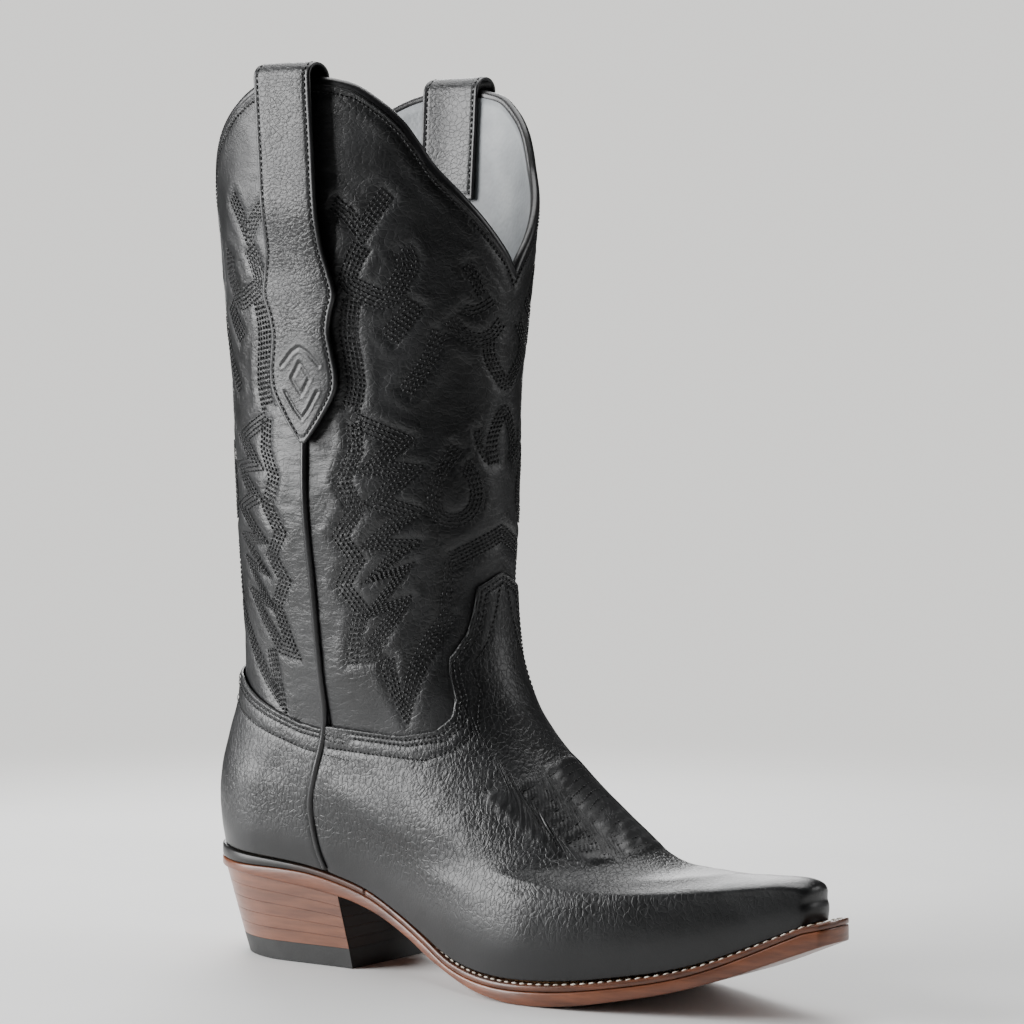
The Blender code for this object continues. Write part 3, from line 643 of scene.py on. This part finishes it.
PIPING_LEATHER = calf_piping()
PIPING_RADIUS = 1.6
PIPING_RINGS = (10.2, 0.15)
PIPING_POINTS = 240
for end, side in (("outer", -1), ("inner", 1)):
    rings = np.linspace(*PIPING_RINGS, PIPING_POINTS)
    turns = side * seam_angle(rings)
    rise = 0.5 + smooth_step(5.6, 4.6, rings)
    cord = rolled(on_last(turns, rings, -rise), outward(turns, rings), (PIPING_RADIUS, PIPING_RADIUS))
    show("seam_piping_" + end, cord, PIPING_LEATHER, ["side_piping_" + end])

BINDING_RADII = (2.1, 2.4)
BINDING_POINTS = 480
BINDING_RISE = 0.9
BINDING_DEPTH = 1.8
angles = np.linspace(0, 360, BINDING_POINTS, endpoint=False)
heights = smooth_curve(TOP_LINE, folded(angles)) + BINDING_RISE
rings = ring_at(angles, heights)
bound = on_last(angles, rings, BINDING_DEPTH)
lift = np.tile((0, 0, 1.0), (len(angles), 1))
binding = rolled(bound, lift, BINDING_RADII, closed=True)
show("top_edge_binding", binding, PIPING_LEATHER, ["top_binding"])


# ---- Vamp and counter -----------------------------------------------------------------------
# The vamp, with its tongue up the front of the shaft, and the counter round the heel are
# heavier pebbled cowhide, lapped over the shaft and sewn with two close rows.
VAMP_LEATHER = black_leather("waxed_cowhide_vamp", 1.5, (1, 1, 0.7), 0.2, 0.2, 0.4)
# Depths of the overlay's inner and outer face, and how far its rows of thread keep from its edge.
OVERLAY = (-0.8, -2.3)
EDGE_ROWS = (-2.2, -4.4)
COUNTER_ROW = -11.5
FOOT_SHARE = 1.4
FOOT_WANDER = ((0.3, 30), (0.14, 9))
FOOT_DRAW_IN, FOOT_DRAW_WIDTH = 0.4, 1.3
RIDGE_HEIGHT, RIDGE_FOLD, RIDGE_FOLD_WIDTH = 0.6, 0.4, 0.8
LOWEST_RING = 0.06
TOE_ROWS = 7
CAP_ROWS = 4


def stitched_edge(line, angles, inset, depth):
    """A row of thread that keeps inside a panel's top line."""
    corners = [(a, float(straight_line(line, folded(a)))) for a in angles]
    angle, height = row_of(corners, inset)
    ring = ring_at(angle, height)
    return on_last(angle, ring, depth), outward(angle, ring)


VAMP_CORNERS = (-88, -68, -53, -43, -37, -35, -24, -20, -17, -4, 0, 4, 17, 20, 24, 35, 37, 43, 53, 68, 88)
COUNTER_CORNERS = (92, 95, 110, 124, 148, 165, 180, 195, 212, 236, 250, 265, 268)
TONGUE_SIDE = ((101.5, 96), (64, 94), (47.5, 100), (34.5, 109), (24.5, 124), (23.5, 135), (13, 144.5),
               (6.5, 157), (2.5, 169))
TONGUE_LINE = [(-angle, height) for angle, height in TONGUE_SIDE] + list(TONGUE_SIDE[::-1])
vamp_rows = [stitched_edge(VAMP_TOP, VAMP_CORNERS, inset, OVERLAY[1]) for inset in EDGE_ROWS]
vamp_rows += thread_rows(TONGUE_LINE, (0,), OVERLAY[1])
toe_rows = []
for number in range(TOE_ROWS + CAP_ROWS):
    # The long rows cross the vamp from side to side, and the short ones close the pattern.
    if number < TOE_ROWS:
        share = number / (TOE_ROWS - 1)
        ends = ((-46 + 7.5 * share, 4.6 - 0.43 * share), (54 - 6 * share, 4.6 - 0.43 * share))
        ridge, spots = (6, 4.88 - 0.35 * share), 70
    else:
        share = (number - TOE_ROWS) / (CAP_ROWS - 1)
        ends = ((-34 + share, 4.23 - 0.18 * share), (46 - 2 * share, 4.15 - 0.15 * share))
        ridge, spots = (10, 4.4 - 0.23 * share), 50
    angle = np.linspace(ends[0][0], ends[1][0], spots)
    ring = smooth_curve((ends[0], ridge, ends[1]), angle)
    toe_rows.append((on_last(angle, ring, OVERLAY[1]), outward(angle, ring)))


def foot_panel(name, middle, line, node, rows, ridges, columns, up_rows):
    """The vamp or the counter, with its rows of thread, and raised ridges along some of them."""
    edge_angles = np.linspace(middle - 100, middle + 100, 500)
    edge = [(on_last(edge_angles, ring_at(edge_angles, straight_line(line, folded(edge_angles)))),)]

    def place(across, up, face):
        away = 2 * crowd(across) - 1
        reach = middle + away * 95
        share_up = 1 - (1 - up) ** FOOT_SHARE
        top = ring_at(reach, straight_line(line, folded(reach)))
        ring = LOWEST_RING + (top - LOWEST_RING) * share_up
        for _ in range(2):
            half = seam_angle(ring) if middle == 0 else 180 - seam_angle(ring)
            angle = middle + half * away
            top = ring_at(angle, straight_line(line, folded(angle)))
            ring = LOWEST_RING + (top - LOWEST_RING) * share_up
        skin = on_last(angle, ring, OVERLAY[1])
        from_seam = (1 - np.abs(away)) * SEAM_REACH
        from_edge = nearest(on_last(angle, ring), edge, 30)
        near = nearest(skin, rows, NEAR_REACH)
        relief = wander(skin, FOOT_WANDER) - FOOT_DRAW_IN * bell(near, FOOT_DRAW_WIDTH)
        if ridges:
            crease = nearest(skin, ridges, NEAR_REACH)
            relief += RIDGE_HEIGHT * smooth_step(0, 1.3, crease) * smooth_step(4.5, 2, crease)
            relief -= RIDGE_FOLD * bell(crease, RIDGE_FOLD_WIDTH)
        relief *= smooth_step(0, 1.2, ring)
        thickness = (OVERLAY[0] - OVERLAY[1]) * round_end((from_edge + 0.05) / 1.1)
        relief = relief - seam_drop(from_seam) - (OVERLAY[0] - OVERLAY[1]) + thickness
        depth = np.where(face > 0.5, OVERLAY[1] - relief, OVERLAY[0] + seam_drop(from_seam))
        pebbled = smooth_step(0.7, 2.2, ring) * (1 - 0.6 * smooth_step(0.06, 0.12, skin[:, 0]))
        if ridges:
            pebbled = pebbled * smooth_step(0.5, 5, crease)
        values = {"wrinkle": 0.1 + 0.5 * smooth_step(3.8, 5, ring), "grain": 0.08 + 0.92 * pebbled}
        return on_last(angle, ring, depth), values
    panel = cut_sheet(columns, up_rows, place)
    show(name, panel, VAMP_LEATHER, [node])


foot_panel("vamp_panel", 0, VAMP_TOP, "vamp", vamp_rows, toe_rows, 170, 250)
counter_rows = [stitched_edge(COUNTER_TOP, COUNTER_CORNERS, inset, OVERLAY[1])
                for inset in (*EDGE_ROWS, COUNTER_ROW)]
foot_panel("counter_panel", 180, COUNTER_TOP, "counter_cover", counter_rows, None, 150, 120)
foot_rows = vamp_rows + counter_rows + toe_rows
sewn("vamp_stitching", foot_rows, 2.3, 0.7, BLACK_THREAD, lift=0.05)


# ---- Pull straps ----------------------------------------------------------------------------
# Two bands of grained cowhide, one over each side seam, looped over the top edge. Their cut
# edges are left raw, and a row of thread runs just inside them.
STRAP_LEATHER = black_leather("grained_cowhide_strap", 1.3, (0.7, 0.7, 1.05), 0.16, 0.15, 0.4,
                              shade="#202123")
STRAP_MIDDLE = -0.5
STRAP_THICKNESS = 1.8
STRAP_LIFT = 5.5
STRAP_LAID = 2.5
STRAP_INNER = 4.2
STRAP_TIP = 229
STRAP_INNER_END = 335
STRAP_COLUMNS, STRAP_ROWS = 56, 330
STRAP_SEAM = 2.4
STRAP_DRAW_IN, STRAP_DRAW_WIDTH = 0.35, 0.7
PRESS_DEPTH, PRESS_WIDTH = 0.45, 0.6
PRESS_LIP, PRESS_LIP_FROM = 0.15, 1.4
RISING_POINTS, TURN_POINTS, FALLING_POINTS = 160, 30, 50
LOOP_HEIGHT = 383.5
STRAP_HALF_WIDTH = ((229, 1.5), (234, 6), (242, 12), (251, 17.5), (258, 18.5), (268, 17), (276, 16),
                    (284, 17.5), (292, 20), (300, 18.5), (312, 15.8), (340, 15.5), (400, 15.5))


def beside(side, x, height, depth):
    """Points on one side of the shaft at x, heights and depths."""
    ring = ring_at(np.full(np.shape(height), 90.0), height)
    row = smooth_curve(LAST, ring)
    front, back = row[..., 0] - depth, row[..., 3] + depth
    turn = np.degrees(np.arccos(np.clip(2 * (x - back) / (front - back) - 1, -1, 1)))
    points = on_last(side * turn, ring, depth)
    points[..., 2] = height * MM
    return points


# Lines pressed into the tip, as (across, height) corners: a diamond between two chevrons.
PRESSED = (((0, 263.5), (5, 256.5), (0, 249.5), (-5, 256.5), (0, 263.5)),
           ((-10.5, 262), (-4, 268), (0, 270), (4, 268), (10.5, 262)),
           ((-9, 251), (-3.5, 243), (0, 239.5), (3.5, 243), (9, 251)))


def from_lines(across, height, lines):
    """Distance in millimetres to the nearest of some straight-sided lines."""
    nearest_gap = np.full(np.shape(across), 99.0)
    for line in lines:
        for (x0, z0), (x1, z1) in zip(line, line[1:]):
            run = np.array((x1 - x0, z1 - z0))
            share = np.clip(((across - x0) * run[0] + (height - z0) * run[1]) / run.dot(run), 0, 1)
            gap = np.hypot(across - x0 - share * run[0], height - z0 - share * run[1])
            nearest_gap = np.minimum(nearest_gap, gap)
    return nearest_gap


rise = np.linspace(STRAP_TIP, LOOP_HEIGHT, RISING_POINTS)
centre_depth = (STRAP_INNER - STRAP_LIFT) / 2
loop_radius = (STRAP_INNER + STRAP_LIFT + STRAP_THICKNESS) / 2
turns = np.linspace(0, math.pi, TURN_POINTS)[1:-1]
fall = np.linspace(LOOP_HEIGHT, STRAP_INNER_END, FALLING_POINTS)
lifted = STRAP_LAID + (STRAP_LIFT - STRAP_LAID) * smooth_step(300, 334, rise)
path_depth = np.concatenate((-lifted - STRAP_THICKNESS / 2, centre_depth - loop_radius * np.cos(turns),
                             np.full(FALLING_POINTS, centre_depth + loop_radius)))
path_height = np.concatenate((rise, LOOP_HEIGHT + loop_radius * np.sin(turns), fall))
path = np.stack((path_depth, path_height), 1)
path_length = np.concatenate(([0], np.cumsum(np.linalg.norm(np.diff(path, axis=0), axis=1))))
path_way = np.gradient(path, axis=0)
path_way /= np.linalg.norm(path_way, axis=1, keepdims=True)


def on_strap(side, across, travel, off):
    """Points across a strap (-1 to 1), some way along it, off its middle layer."""
    depth, height = (np.interp(travel, path_length, path[:, k]) for k in (0, 1))
    way_depth, way_height = (np.interp(travel, path_length, path_way[:, k]) for k in (0, 1))
    half = smooth_curve(STRAP_HALF_WIDTH, height)
    points = beside(side, STRAP_MIDDLE + across * half, height + off * way_depth,
                    depth - off * way_height)
    return points, half


for end, side in (("outer", -1), ("inner", 1)):
    def place(across, up, face, side=side):
        away = 2 * crowd(across, 1.5) - 1
        travel = path_length[-1] * up
        _, half = on_strap(side, away, travel, 0 * away)
        from_edge = (1 - np.abs(away)) * half
        edge = np.minimum(from_edge, np.minimum(travel, path_length[-1] - travel) + 0.2)
        round_over = STRAP_THICKNESS / 2 * (1 - round_end((edge + 0.08) / 0.9)) * 0.8
        skin, _ = on_strap(side, away, travel, 0 * away + 1)
        relief = 0.16 * unevenness(skin, 12) + 0.35 * round_end(from_edge / 7) - 0.35
        relief -= STRAP_DRAW_IN * bell(edge - STRAP_SEAM, STRAP_DRAW_WIDTH)
        # Only the outer run of the strap is pressed, not the end inside the shaft.
        outside = travel < path_length[RISING_POINTS - 1]
        height = np.where(outside, np.interp(travel, path_length, path[:, 1]), 0)
        pressed = from_lines(away * half, height, PRESSED)
        relief += PRESS_LIP * bell(pressed - PRESS_LIP_FROM, PRESS_WIDTH)
        relief -= PRESS_DEPTH * bell(pressed, PRESS_WIDTH)
        flat = STRAP_THICKNESS / 2 - round_over
        off = np.where(face > 0.5, flat + relief, -flat)
        grain = smooth_step(0.8, 2.6, edge) * (0.4 + 0.6 * smooth_step(3, 9, pressed))
        values = {"wrinkle": np.full(len(up), 0.2), "grain": grain}
        return on_strap(side, away, travel, off)[0], values
    strap = cut_sheet(STRAP_COLUMNS, STRAP_ROWS, place)
    show("pull_strap_band_" + end, strap, STRAP_LEATHER, ["pull_strap_" + end])
    strap_rows = []
    travel = np.arange(3.5, path_length[-1] - 1, 1.0)
    for edge_side in (-1, 1):
        _, half = on_strap(side, 0 * travel, travel, 0 * travel)
        away = edge_side * (half - STRAP_SEAM) / half
        points, _ = on_strap(side, away, travel, 0 * travel + STRAP_THICKNESS / 2 - 0.25)
        above, _ = on_strap(side, away, travel, 0 * travel + STRAP_THICKNESS / 2 + 0.75)
        strap_rows.append((points, (above - points) / MM))
    sewn("pull_strap_stitching_" + end, strap_rows, 2.5, 0.7, BLACK_THREAD,
         lift=0.05)


# ---- Welt, rand and outsole -----------------------------------------------------------------
# A strip of brown oak-bark leather is sewn round the forepart with waxed white thread, the
# rand goes on round the heel, and both lie on a thick leather outsole with a stained edge.
SOLE_BACK = -83
SOLE_FRONT = 239
SOLE_WIDTHS = (33, 30.5, 48.5, 16)
SOLE_ROUNDS = (4, 38)
SOLE_BOTTOM = ((-84, 38.5), (-40, 36), (0, 31.5), (20, 26.5), (42, 17.5), (58, 10.5), (84, 3),
               (104, 0.3), (115, 0), (126, 0.4), (146, 3), (185, 12), (239, 33))
WELT_THICKNESS = 2.7
TOE_SLOPE = 0.25
RAND_WEDGE = 3.4
LAYER_GAP = 0.5
RAND_END = 16


def outline(x, inset=0.0):
    """Half widths of a flat sole piece at x: outer side, then inner side."""
    low, high = SOLE_BACK + inset, SOLE_FRONT - inset
    width = plan_width(np.array(SOLE_WIDTHS, float) - np.asarray(inset)[..., None], x)
    rounding = round_end((x - low) / SOLE_ROUNDS[1]) * round_end((high - x) / SOLE_ROUNDS[0])
    return width * rounding, (width + inflare(x)) * rounding


def feather_height(x):
    return smooth_curve(FEATHER, x) + TOE_SLOPE * np.maximum(x - FEATHER[-1][0], 0)


def sole_top(x):
    wedge = RAND_WEDGE * smooth_step(-10, SOLE_BACK, x)
    return feather_height(x) - WELT_THICKNESS - 2 * LAYER_GAP - wedge


def sole_bottom(x):
    return smooth_curve(SOLE_BOTTOM, x)


def oak_leather(name, dark, light, streak):
    """Oak-bark tanned sole leather, its cut edge sanded, stained and waxed: fine level streaks."""
    material, shader, place = blank(name)
    flat = add(material, "Mapping", {"Vector": place, "Scale": (1, 1, streak)})
    fibres = add(material, "TexNoise", {"Vector": flat.outputs[0], "Scale": 55, "Detail": 6,
                                        "Roughness": 0.62})
    blot = add(material, "TexNoise", {"Vector": place, "Scale": 18, "Detail": 3})
    mixed = add(material, "Math", {0: blot.outputs["Fac"], 1: 0.5, 2: fibres.outputs["Fac"]},
                operation="MULTIPLY_ADD")
    tone = ramp(material, mixed.outputs[0], ((0.5, dark), (0.95, light)))
    return finish(material, shader, fibres.outputs["Fac"], 0.3, 0.5,
                  {"Base Color": tone, "Roughness": 0.38, "Coat Weight": 0.3, "Coat Roughness": 0.2})


SOLE_LEATHER = oak_leather("oak_bark_sole_leather", "#46210f", "#7d482d", 8)
WELT_LEATHER = oak_leather("oak_bark_welt_leather", "#2c150c", "#6b3c24", 10)
SOLE_COLUMNS = 170
SOLE_EDGE = 0.9


def sole_slab():
    """The outsole with its rounded edges: columns along it, and a ring of points round each."""
    # Across: bottom from outer to inner side, up the inner side, top back, down the outer side.
    flat = np.linspace(-1, 1, 13)
    turn = np.linspace(0, math.pi / 2, 4)
    corner = np.concatenate((-np.cos(turn), np.cos(turn[::-1])))
    rim = np.stack((np.concatenate((np.sin(turn), np.sin(turn[::-1]))), corner), 1)
    section = [(s, 0.0, -1.0) for s in flat] + [(1.0, r, c) for r, c in rim]
    section += [(s, 0.0, 1.0) for s in flat[::-1]] + [(-1.0, r, c) for r, c in rim[::-1]]
    section = np.array(section)
    count = len(section)
    builder, spots = grid(SOLE_COLUMNS, count)
    x = SOLE_BACK + (SOLE_FRONT - SOLE_BACK) * (1 - np.cos(math.pi * spots[:, 0])) / 2
    across, bulge, level = section[np.round(spots[:, 1] * count).astype(int) % count].T
    outer, inner = outline(x)
    low, high = sole_bottom(x), sole_top(x) + LAYER_GAP * 0.8
    radius = np.minimum(SOLE_EDGE, (high - low) / 2)
    reach = np.where(across > 0, inner, outer)
    rounded = np.where(np.abs(across) == 1, bulge * np.minimum(radius, reach), 0)
    y = across * (np.maximum(reach - radius, 0) + rounded)
    z = np.where(level < 0, low + radius * (1 + level), high - radius * (1 - level))
    return close_up(builder, np.stack((x - MIDDLE_OF_LENGTH, y, z), 1) * MM, merge=1e-6)


show("outsole_leather", sole_slab(), SOLE_LEATHER, ["outsole"])


STRIP_WIDTH = 9
STRIP_POINTS = 28
STRIP_ROUNDING = 0.35
STRIP_GAP = 0.3


def sole_strip(end, columns):
    """A strip round one end of the sole, from the outer side at RAND_END to the inner side."""
    turn = np.linspace(0, 2 * math.pi, STRIP_POINTS, endpoint=False)
    square = np.stack([np.sign(wave) * np.abs(wave) ** STRIP_ROUNDING
                       for wave in (np.cos(turn), np.sin(turn))], 1)
    builder, spots = grid(columns, STRIP_POINTS)
    across, level = square[np.round(spots[:, 1] * STRIP_POINTS).astype(int) % STRIP_POINTS].T
    margin = STRIP_WIDTH * (1 - across) / 2
    start = RAND_END if end > 0 else RAND_END - STRIP_GAP
    reach = end + margin if end < start else end - margin
    x = start + (reach - start) * np.sin(math.pi * spots[:, 0])
    outer, inner = outline(x, margin)
    y = np.where(spots[:, 0] < 0.5, -outer, inner)
    low, high = sole_top(x) + LAYER_GAP, feather_height(x) - LAYER_GAP
    z = (low + high) / 2 + level * (high - low) / 2
    points = np.stack((x - MIDDLE_OF_LENGTH, y, z), 1) * MM
    return close_up(builder, points, hole_sides=STRIP_POINTS)


def rand_leather():
    material, shader, place = blank("rand_leather_blackened")
    # The rand is inked black round the heel and fades to the welt's brown at the waist.
    apart = add(material, "SeparateXYZ", {"Vector": place})
    fade = add(material, "MapRange", {"Value": apart.outputs["X"], "From Min": -0.108,
                                      "From Max": -0.068})
    worn = add(material, "TexNoise", {"Vector": place, "Scale": 160, "Detail": 4})
    mixed = add(material, "Math", {0: worn.outputs["Fac"], 1: 0.3, 2: fade.outputs[0]},
                operation="MULTIPLY_ADD")
    tone = ramp(material, mixed.outputs[0], ((0.2, "#141313"), (1.0, "#4a2a1c")))
    return finish(material, shader, worn.outputs["Fac"], 0.2, 0.5,
                  {"Base Color": tone, "Roughness": 0.4})


show("welt_strip", sole_strip(SOLE_FRONT, 420), WELT_LEATHER, ["welt"])
show("heel_rand_strip", sole_strip(SOLE_BACK, 240), rand_leather(), ["heel_rand"])


def thread_white():
    material, shader, place = blank("waxed_linen_thread_white")
    # Heavy waxed linen: cream where it lies flat, browner where it dips into the leather.
    dirt = add(material, "TexNoise", {"Vector": place, "Scale": 380, "Detail": 3})
    tone = ramp(material, dirt.outputs["Fac"], ((0.3, "#a89a86"), (0.6, "#e6dfd2")))
    material.node_tree.links.new(tone, shader.inputs["Base Color"])
    shader.inputs["Roughness"].default_value = 0.6
    return material


WELT_ROW_START = 30
WELT_ROW_INSET = 2.6
WELT_ROW_POINTS = 900
sweep = np.sin(np.linspace(0, math.pi, WELT_ROW_POINTS))
sewn_x = WELT_ROW_START + (SOLE_FRONT - WELT_ROW_INSET - WELT_ROW_START) * sweep
sewn_outer, sewn_inner = outline(sewn_x, np.full(WELT_ROW_POINTS, WELT_ROW_INSET))
sewn_y = np.where(np.arange(WELT_ROW_POINTS) < WELT_ROW_POINTS / 2, -sewn_outer, sewn_inner)
welt_row = np.stack((sewn_x - MIDDLE_OF_LENGTH, sewn_y, feather_height(sewn_x) - LAYER_GAP), 1) * MM
upward = np.tile((0, 0, 1.0), (WELT_ROW_POINTS, 1))
sewn("welt_stitching", [(welt_row, upward)], 4.0, 1.1, thread_white(), lift=0.1)


# ---- Heel -----------------------------------------------------------------------------------
# Five lifts of the same leather are stacked, nailed, sanded to a slope and waxed, and a black
# rubber cap takes the wear. The lift faces that point forward, the breast, are coloured nearly black.
def stacked_leather():
    material, shader, place = blank("stacked_heel_leather")
    flat = add(material, "Mapping", {"Vector": place, "Scale": (1, 1, 9)})
    fibres = add(material, "TexNoise", {"Vector": flat.outputs[0], "Scale": 45, "Detail": 6,
                                        "Roughness": 0.6})
    blot = add(material, "TexNoise", {"Vector": place, "Scale": 25, "Detail": 3})
    mixed = add(material, "Math", {0: blot.outputs["Fac"], 1: 0.45, 2: fibres.outputs["Fac"]},
                operation="MULTIPLY_ADD")
    tone = ramp(material, mixed.outputs[0], ((0.4, "#4f2b1c"), (1.0, "#81523b")))
    # The breast, the heel's front face, is coloured nearly black: faces that point forward take the dark
    # colour.
    facing = add(material, "SeparateXYZ", {"Vector": add(material, "NewGeometry").outputs["True Normal"]})
    forward_facing = add(material, "MapRange", {"Value": facing.outputs["X"], "From Min": 0.55, "From Max": 0.8})
    # Inputs 6 and 7 and output 2 are the colours of a Mix node.
    both = add(material, "Mix", {0: forward_facing.outputs[0], 6: tone, 7: linear("#17100d")},
               data_type="RGBA")
    return finish(material, shader, fibres.outputs["Fac"], 0.12, 0.5,
                  {"Base Color": both.outputs[2], "Roughness": 0.36, "Coat Weight": 0.35,
                   "Coat Roughness": 0.18})


def cap_rubber():
    material, shader, place = blank("moulded_heel_rubber_black")
    grit = add(material, "TexNoise", {"Vector": place, "Scale": 900, "Detail": 3})
    scuff = add(material, "TexNoise", {"Vector": place, "Scale": 70, "Detail": 4})
    tone = ramp(material, scuff.outputs["Fac"], ((0.35, "#1a1b1b"), (0.7, "#2b2c2c")))
    return finish(material, shader, grit.outputs["Fac"], 0.15, 0.6,
                  {"Base Color": tone, "Roughness": 0.55})


HEEL_LEATHER = stacked_leather()
CAP_RUBBER = cap_rubber()
LIFTS = 5
CAP_HEIGHT = 8.5
CAP_SHARE = 0.24
HEEL_TOP_BACK = -81.5
HEEL_TAPER = 13
BREAST_SLANT = 6.5
HEEL_INSET = 1.2
HEEL_SIDE_TAPER = 2
LIFT_GAP = 0.06
LIFT_COLUMNS, LIFT_ROWS = 60, 8


def boundary(level, x):
    """Height at x of the face under a lift, where level 0 is the floor."""
    if level == 0:
        return 0 * x
    return CAP_HEIGHT + (sole_bottom(x) - CAP_HEIGHT) * (level - 1) / LIFTS


for level in range(LIFTS + 1):
    def place(across, up, face, level=level):
        share = CAP_SHARE + (1 - CAP_SHARE) * (level + face - 1) / LIFTS
        share = np.where(level + face > 0, share, 0)
        back = HEEL_TOP_BACK + HEEL_TAPER * (1 - share)
        breast = BREAST_SLANT * (1 - share)
        x = back + (breast - back) * (1 - np.cos(math.pi * across / 2))
        taper = HEEL_SIDE_TAPER * (1 - share)
        width = plan_width(np.array(SOLE_WIDTHS, float) - (HEEL_INSET + taper)[:, None], x)
        rounding = round_end((x - back) / SOLE_ROUNDS[1])
        outer, inner = width * rounding, (width + inflare(x)) * rounding
        y = -outer + (outer + inner) * up
        low = boundary(level, x) + (LIFT_GAP if level else 0)
        z = np.where(face > 0.5, boundary(level + 1, x) - LIFT_GAP, low)
        return np.stack((x - MIDDLE_OF_LENGTH, y, z), 1) * MM, {}
    lift = cut_sheet(LIFT_COLUMNS, LIFT_ROWS, place)
    if level:
        show("heel_lift_layer_%d" % level, lift, HEEL_LEATHER,
             ["heel_lift_%d" % level], smooth=False)
    else:
        show("heel_cap_rubber", lift, CAP_RUBBER, ["heel_cap"], smooth=False)


# ---- Inner pieces ---------------------------------------------------------------------------
# Stiffeners, insole, shank, cork, nails and pegs keep their CAD shapes: they are hidden by the
# leather, or show only from inside or below.
def plain_finish(name, dark, light, size, roughness, metallic=0.0):
    """A finish whose tone wanders over a size in millimetres, with a matching fine relief."""
    material, shader, place = blank(name)
    mottle = add(material, "TexNoise", {"Vector": place, "Scale": 1 / (size * MM), "Detail": 5,
                                        "Roughness": 0.6})
    tone = ramp(material, mottle.outputs["Fac"], ((0.3, dark), (0.7, light)))
    return finish(material, shader, mottle.outputs["Fac"], 0.2, 0.5,
                  {"Base Color": tone, "Roughness": roughness, "Metallic": metallic})


FINISHES = {
    "lining_leather": LINING_LEATHER,
    "stiffener_board": plain_finish("pressed_fibre_board", "#8f7a5c", "#b59d78", 3, 0.8),
    "insole_leather": plain_finish("vegetable_tanned_insole", "#a87f57", "#c79d72", 8, 0.65),
    "cork": plain_finish("granulated_cork", "#7a5233", "#b98a5c", 2, 0.9),
    "shank_steel": plain_finish("tempered_spring_steel", "#8a8c90", "#a6a8ab", 4, 0.35, 1.0),
    "nail_brass": plain_finish("drawn_brass_nail", "#b08a3e", "#cfa855", 2, 0.3, 1.0),
    "peg_wood": plain_finish("lemonwood_peg", "#b08a57", "#d0ad78", 1, 0.6),
}
KEPT = {
    "lining_leather": ["vamp_lining", "counter_lining", "heel_pad"],
    "stiffener_board": ["toe_box", "heel_counter"],
    "insole_leather": ["insole"],
    "cork": ["cork_filler"],
    "shank_steel": ["shank"],
    "nail_brass": ["heel_nail_%d" % n for n in range(1, 5)],
    "peg_wood": ["waist_peg_%s_%d" % (side, n) for side in ("outer", "inner") for n in range(1, 4)],
}
for slot, names in KEPT.items():
    for name in names:
        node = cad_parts[name]
        node.data.materials.clear()
        node.data.materials.append(FINISHES[slot])


# ---- Floor, light and camera ----------------------------------------------------------------
# A pale painted floor that melts into a light grey studio, one large soft light on the left.
def studio_floor():
    material, shader, place = blank("matt_studio_floor")
    speckle = add(material, "TexNoise", {"Vector": place, "Scale": 6, "Detail": 3})
    tone = ramp(material, speckle.outputs["Fac"], ((0.3, "#e3e3e2"), (0.7, "#e8e8e7")))
    away = add(material, "VectorMath", {0: place}, operation="LENGTH")
    fade = add(material, "MapRange",
               {"Value": away.outputs["Value"], "From Min": 0.42, "From Max": 0.95},
               interpolation_type="SMOOTHERSTEP")
    clear = add(material, "BsdfTransparent")
    links = material.node_tree.links
    links.new(tone, shader.inputs["Base Color"])
    shader.inputs["Roughness"].default_value = 0.75
    mixed = add(material, "MixShader", {0: fade.outputs[0], 1: shader.outputs[0], 2: clear.outputs[0]})
    links.new(mixed.outputs[0], material.node_tree.nodes["Material Output"].inputs["Surface"])
    return material


# The floor lies a hair below the sole, so that the two faces don't flicker.
FLOOR_DROP = 0.2 * MM
builder = bmesh.new()
bmesh.ops.create_circle(builder, cap_ends=True, segments=96, radius=1.0)
mesh = bpy.data.meshes.new("studio_floor")
builder.to_mesh(mesh)
builder.free()
mesh.materials.append(studio_floor())
floor = bpy.data.objects.new("studio_floor", mesh)
bpy.context.scene.collection.objects.link(floor)
floor.location.z = -FLOOR_DROP

world = bpy.data.worlds.new("studio")
world.use_nodes = True
bpy.context.scene.world = world
backdrop = world.node_tree.nodes["Background"]
backdrop.inputs["Color"].default_value = linear("#dcdbd8")
backdrop.inputs["Strength"].default_value = 1.65
dim = add(world, "Background", {"Color": linear("#dcdbd8"), "Strength": 0.06})
seen = add(world, "LightPath")
both = add(world, "MixShader", {0: seen.outputs["Is Camera Ray"], 1: dim.outputs[0], 2: backdrop.outputs[0]})
world.node_tree.links.new(both.outputs[0], world.node_tree.nodes["World Output"].inputs["Surface"])


def softbox(name, place, aim, size, watts):
    light = bpy.data.lights.new(name, "AREA")
    light.shape = "RECTANGLE"
    light.size, light.size_y = size
    light.energy = watts
    lamp = bpy.data.objects.new(name, light)
    bpy.context.scene.collection.objects.link(lamp)
    lamp.location = place
    lamp.rotation_euler = (Vector(aim) - Vector(place)).to_track_quat("-Z", "Y").to_euler()


softbox("key_left", (-1.3, -1.05, 0.64), (0, 0, 0.2), (1.1, 1.2), 62)
softbox("top", (-0.35, 0.25, 1.6), (0, 0, 0.1), (1.3, 1.3), 26)
softbox("back_left", (-1.0, 1.1, 0.7), (0, 0, 0.2), (0.8, 1.1), 18)
softbox("right_kicker", (1.2, 0.8, 0.7), (0, 0, 0.15), (0.5, 0.9), 6)

view = bpy.data.cameras.new("camera")
view.lens = 123.47
view.sensor_width = 36
view.clip_end = 50
camera = bpy.data.objects.new("camera", view)
camera.location = (0.905, -1.1856, 0.2786)
camera.rotation_euler = (math.radians(86.98), 0, math.radians(37.5))
bpy.context.scene.collection.objects.link(camera)
bpy.context.scene.camera = camera
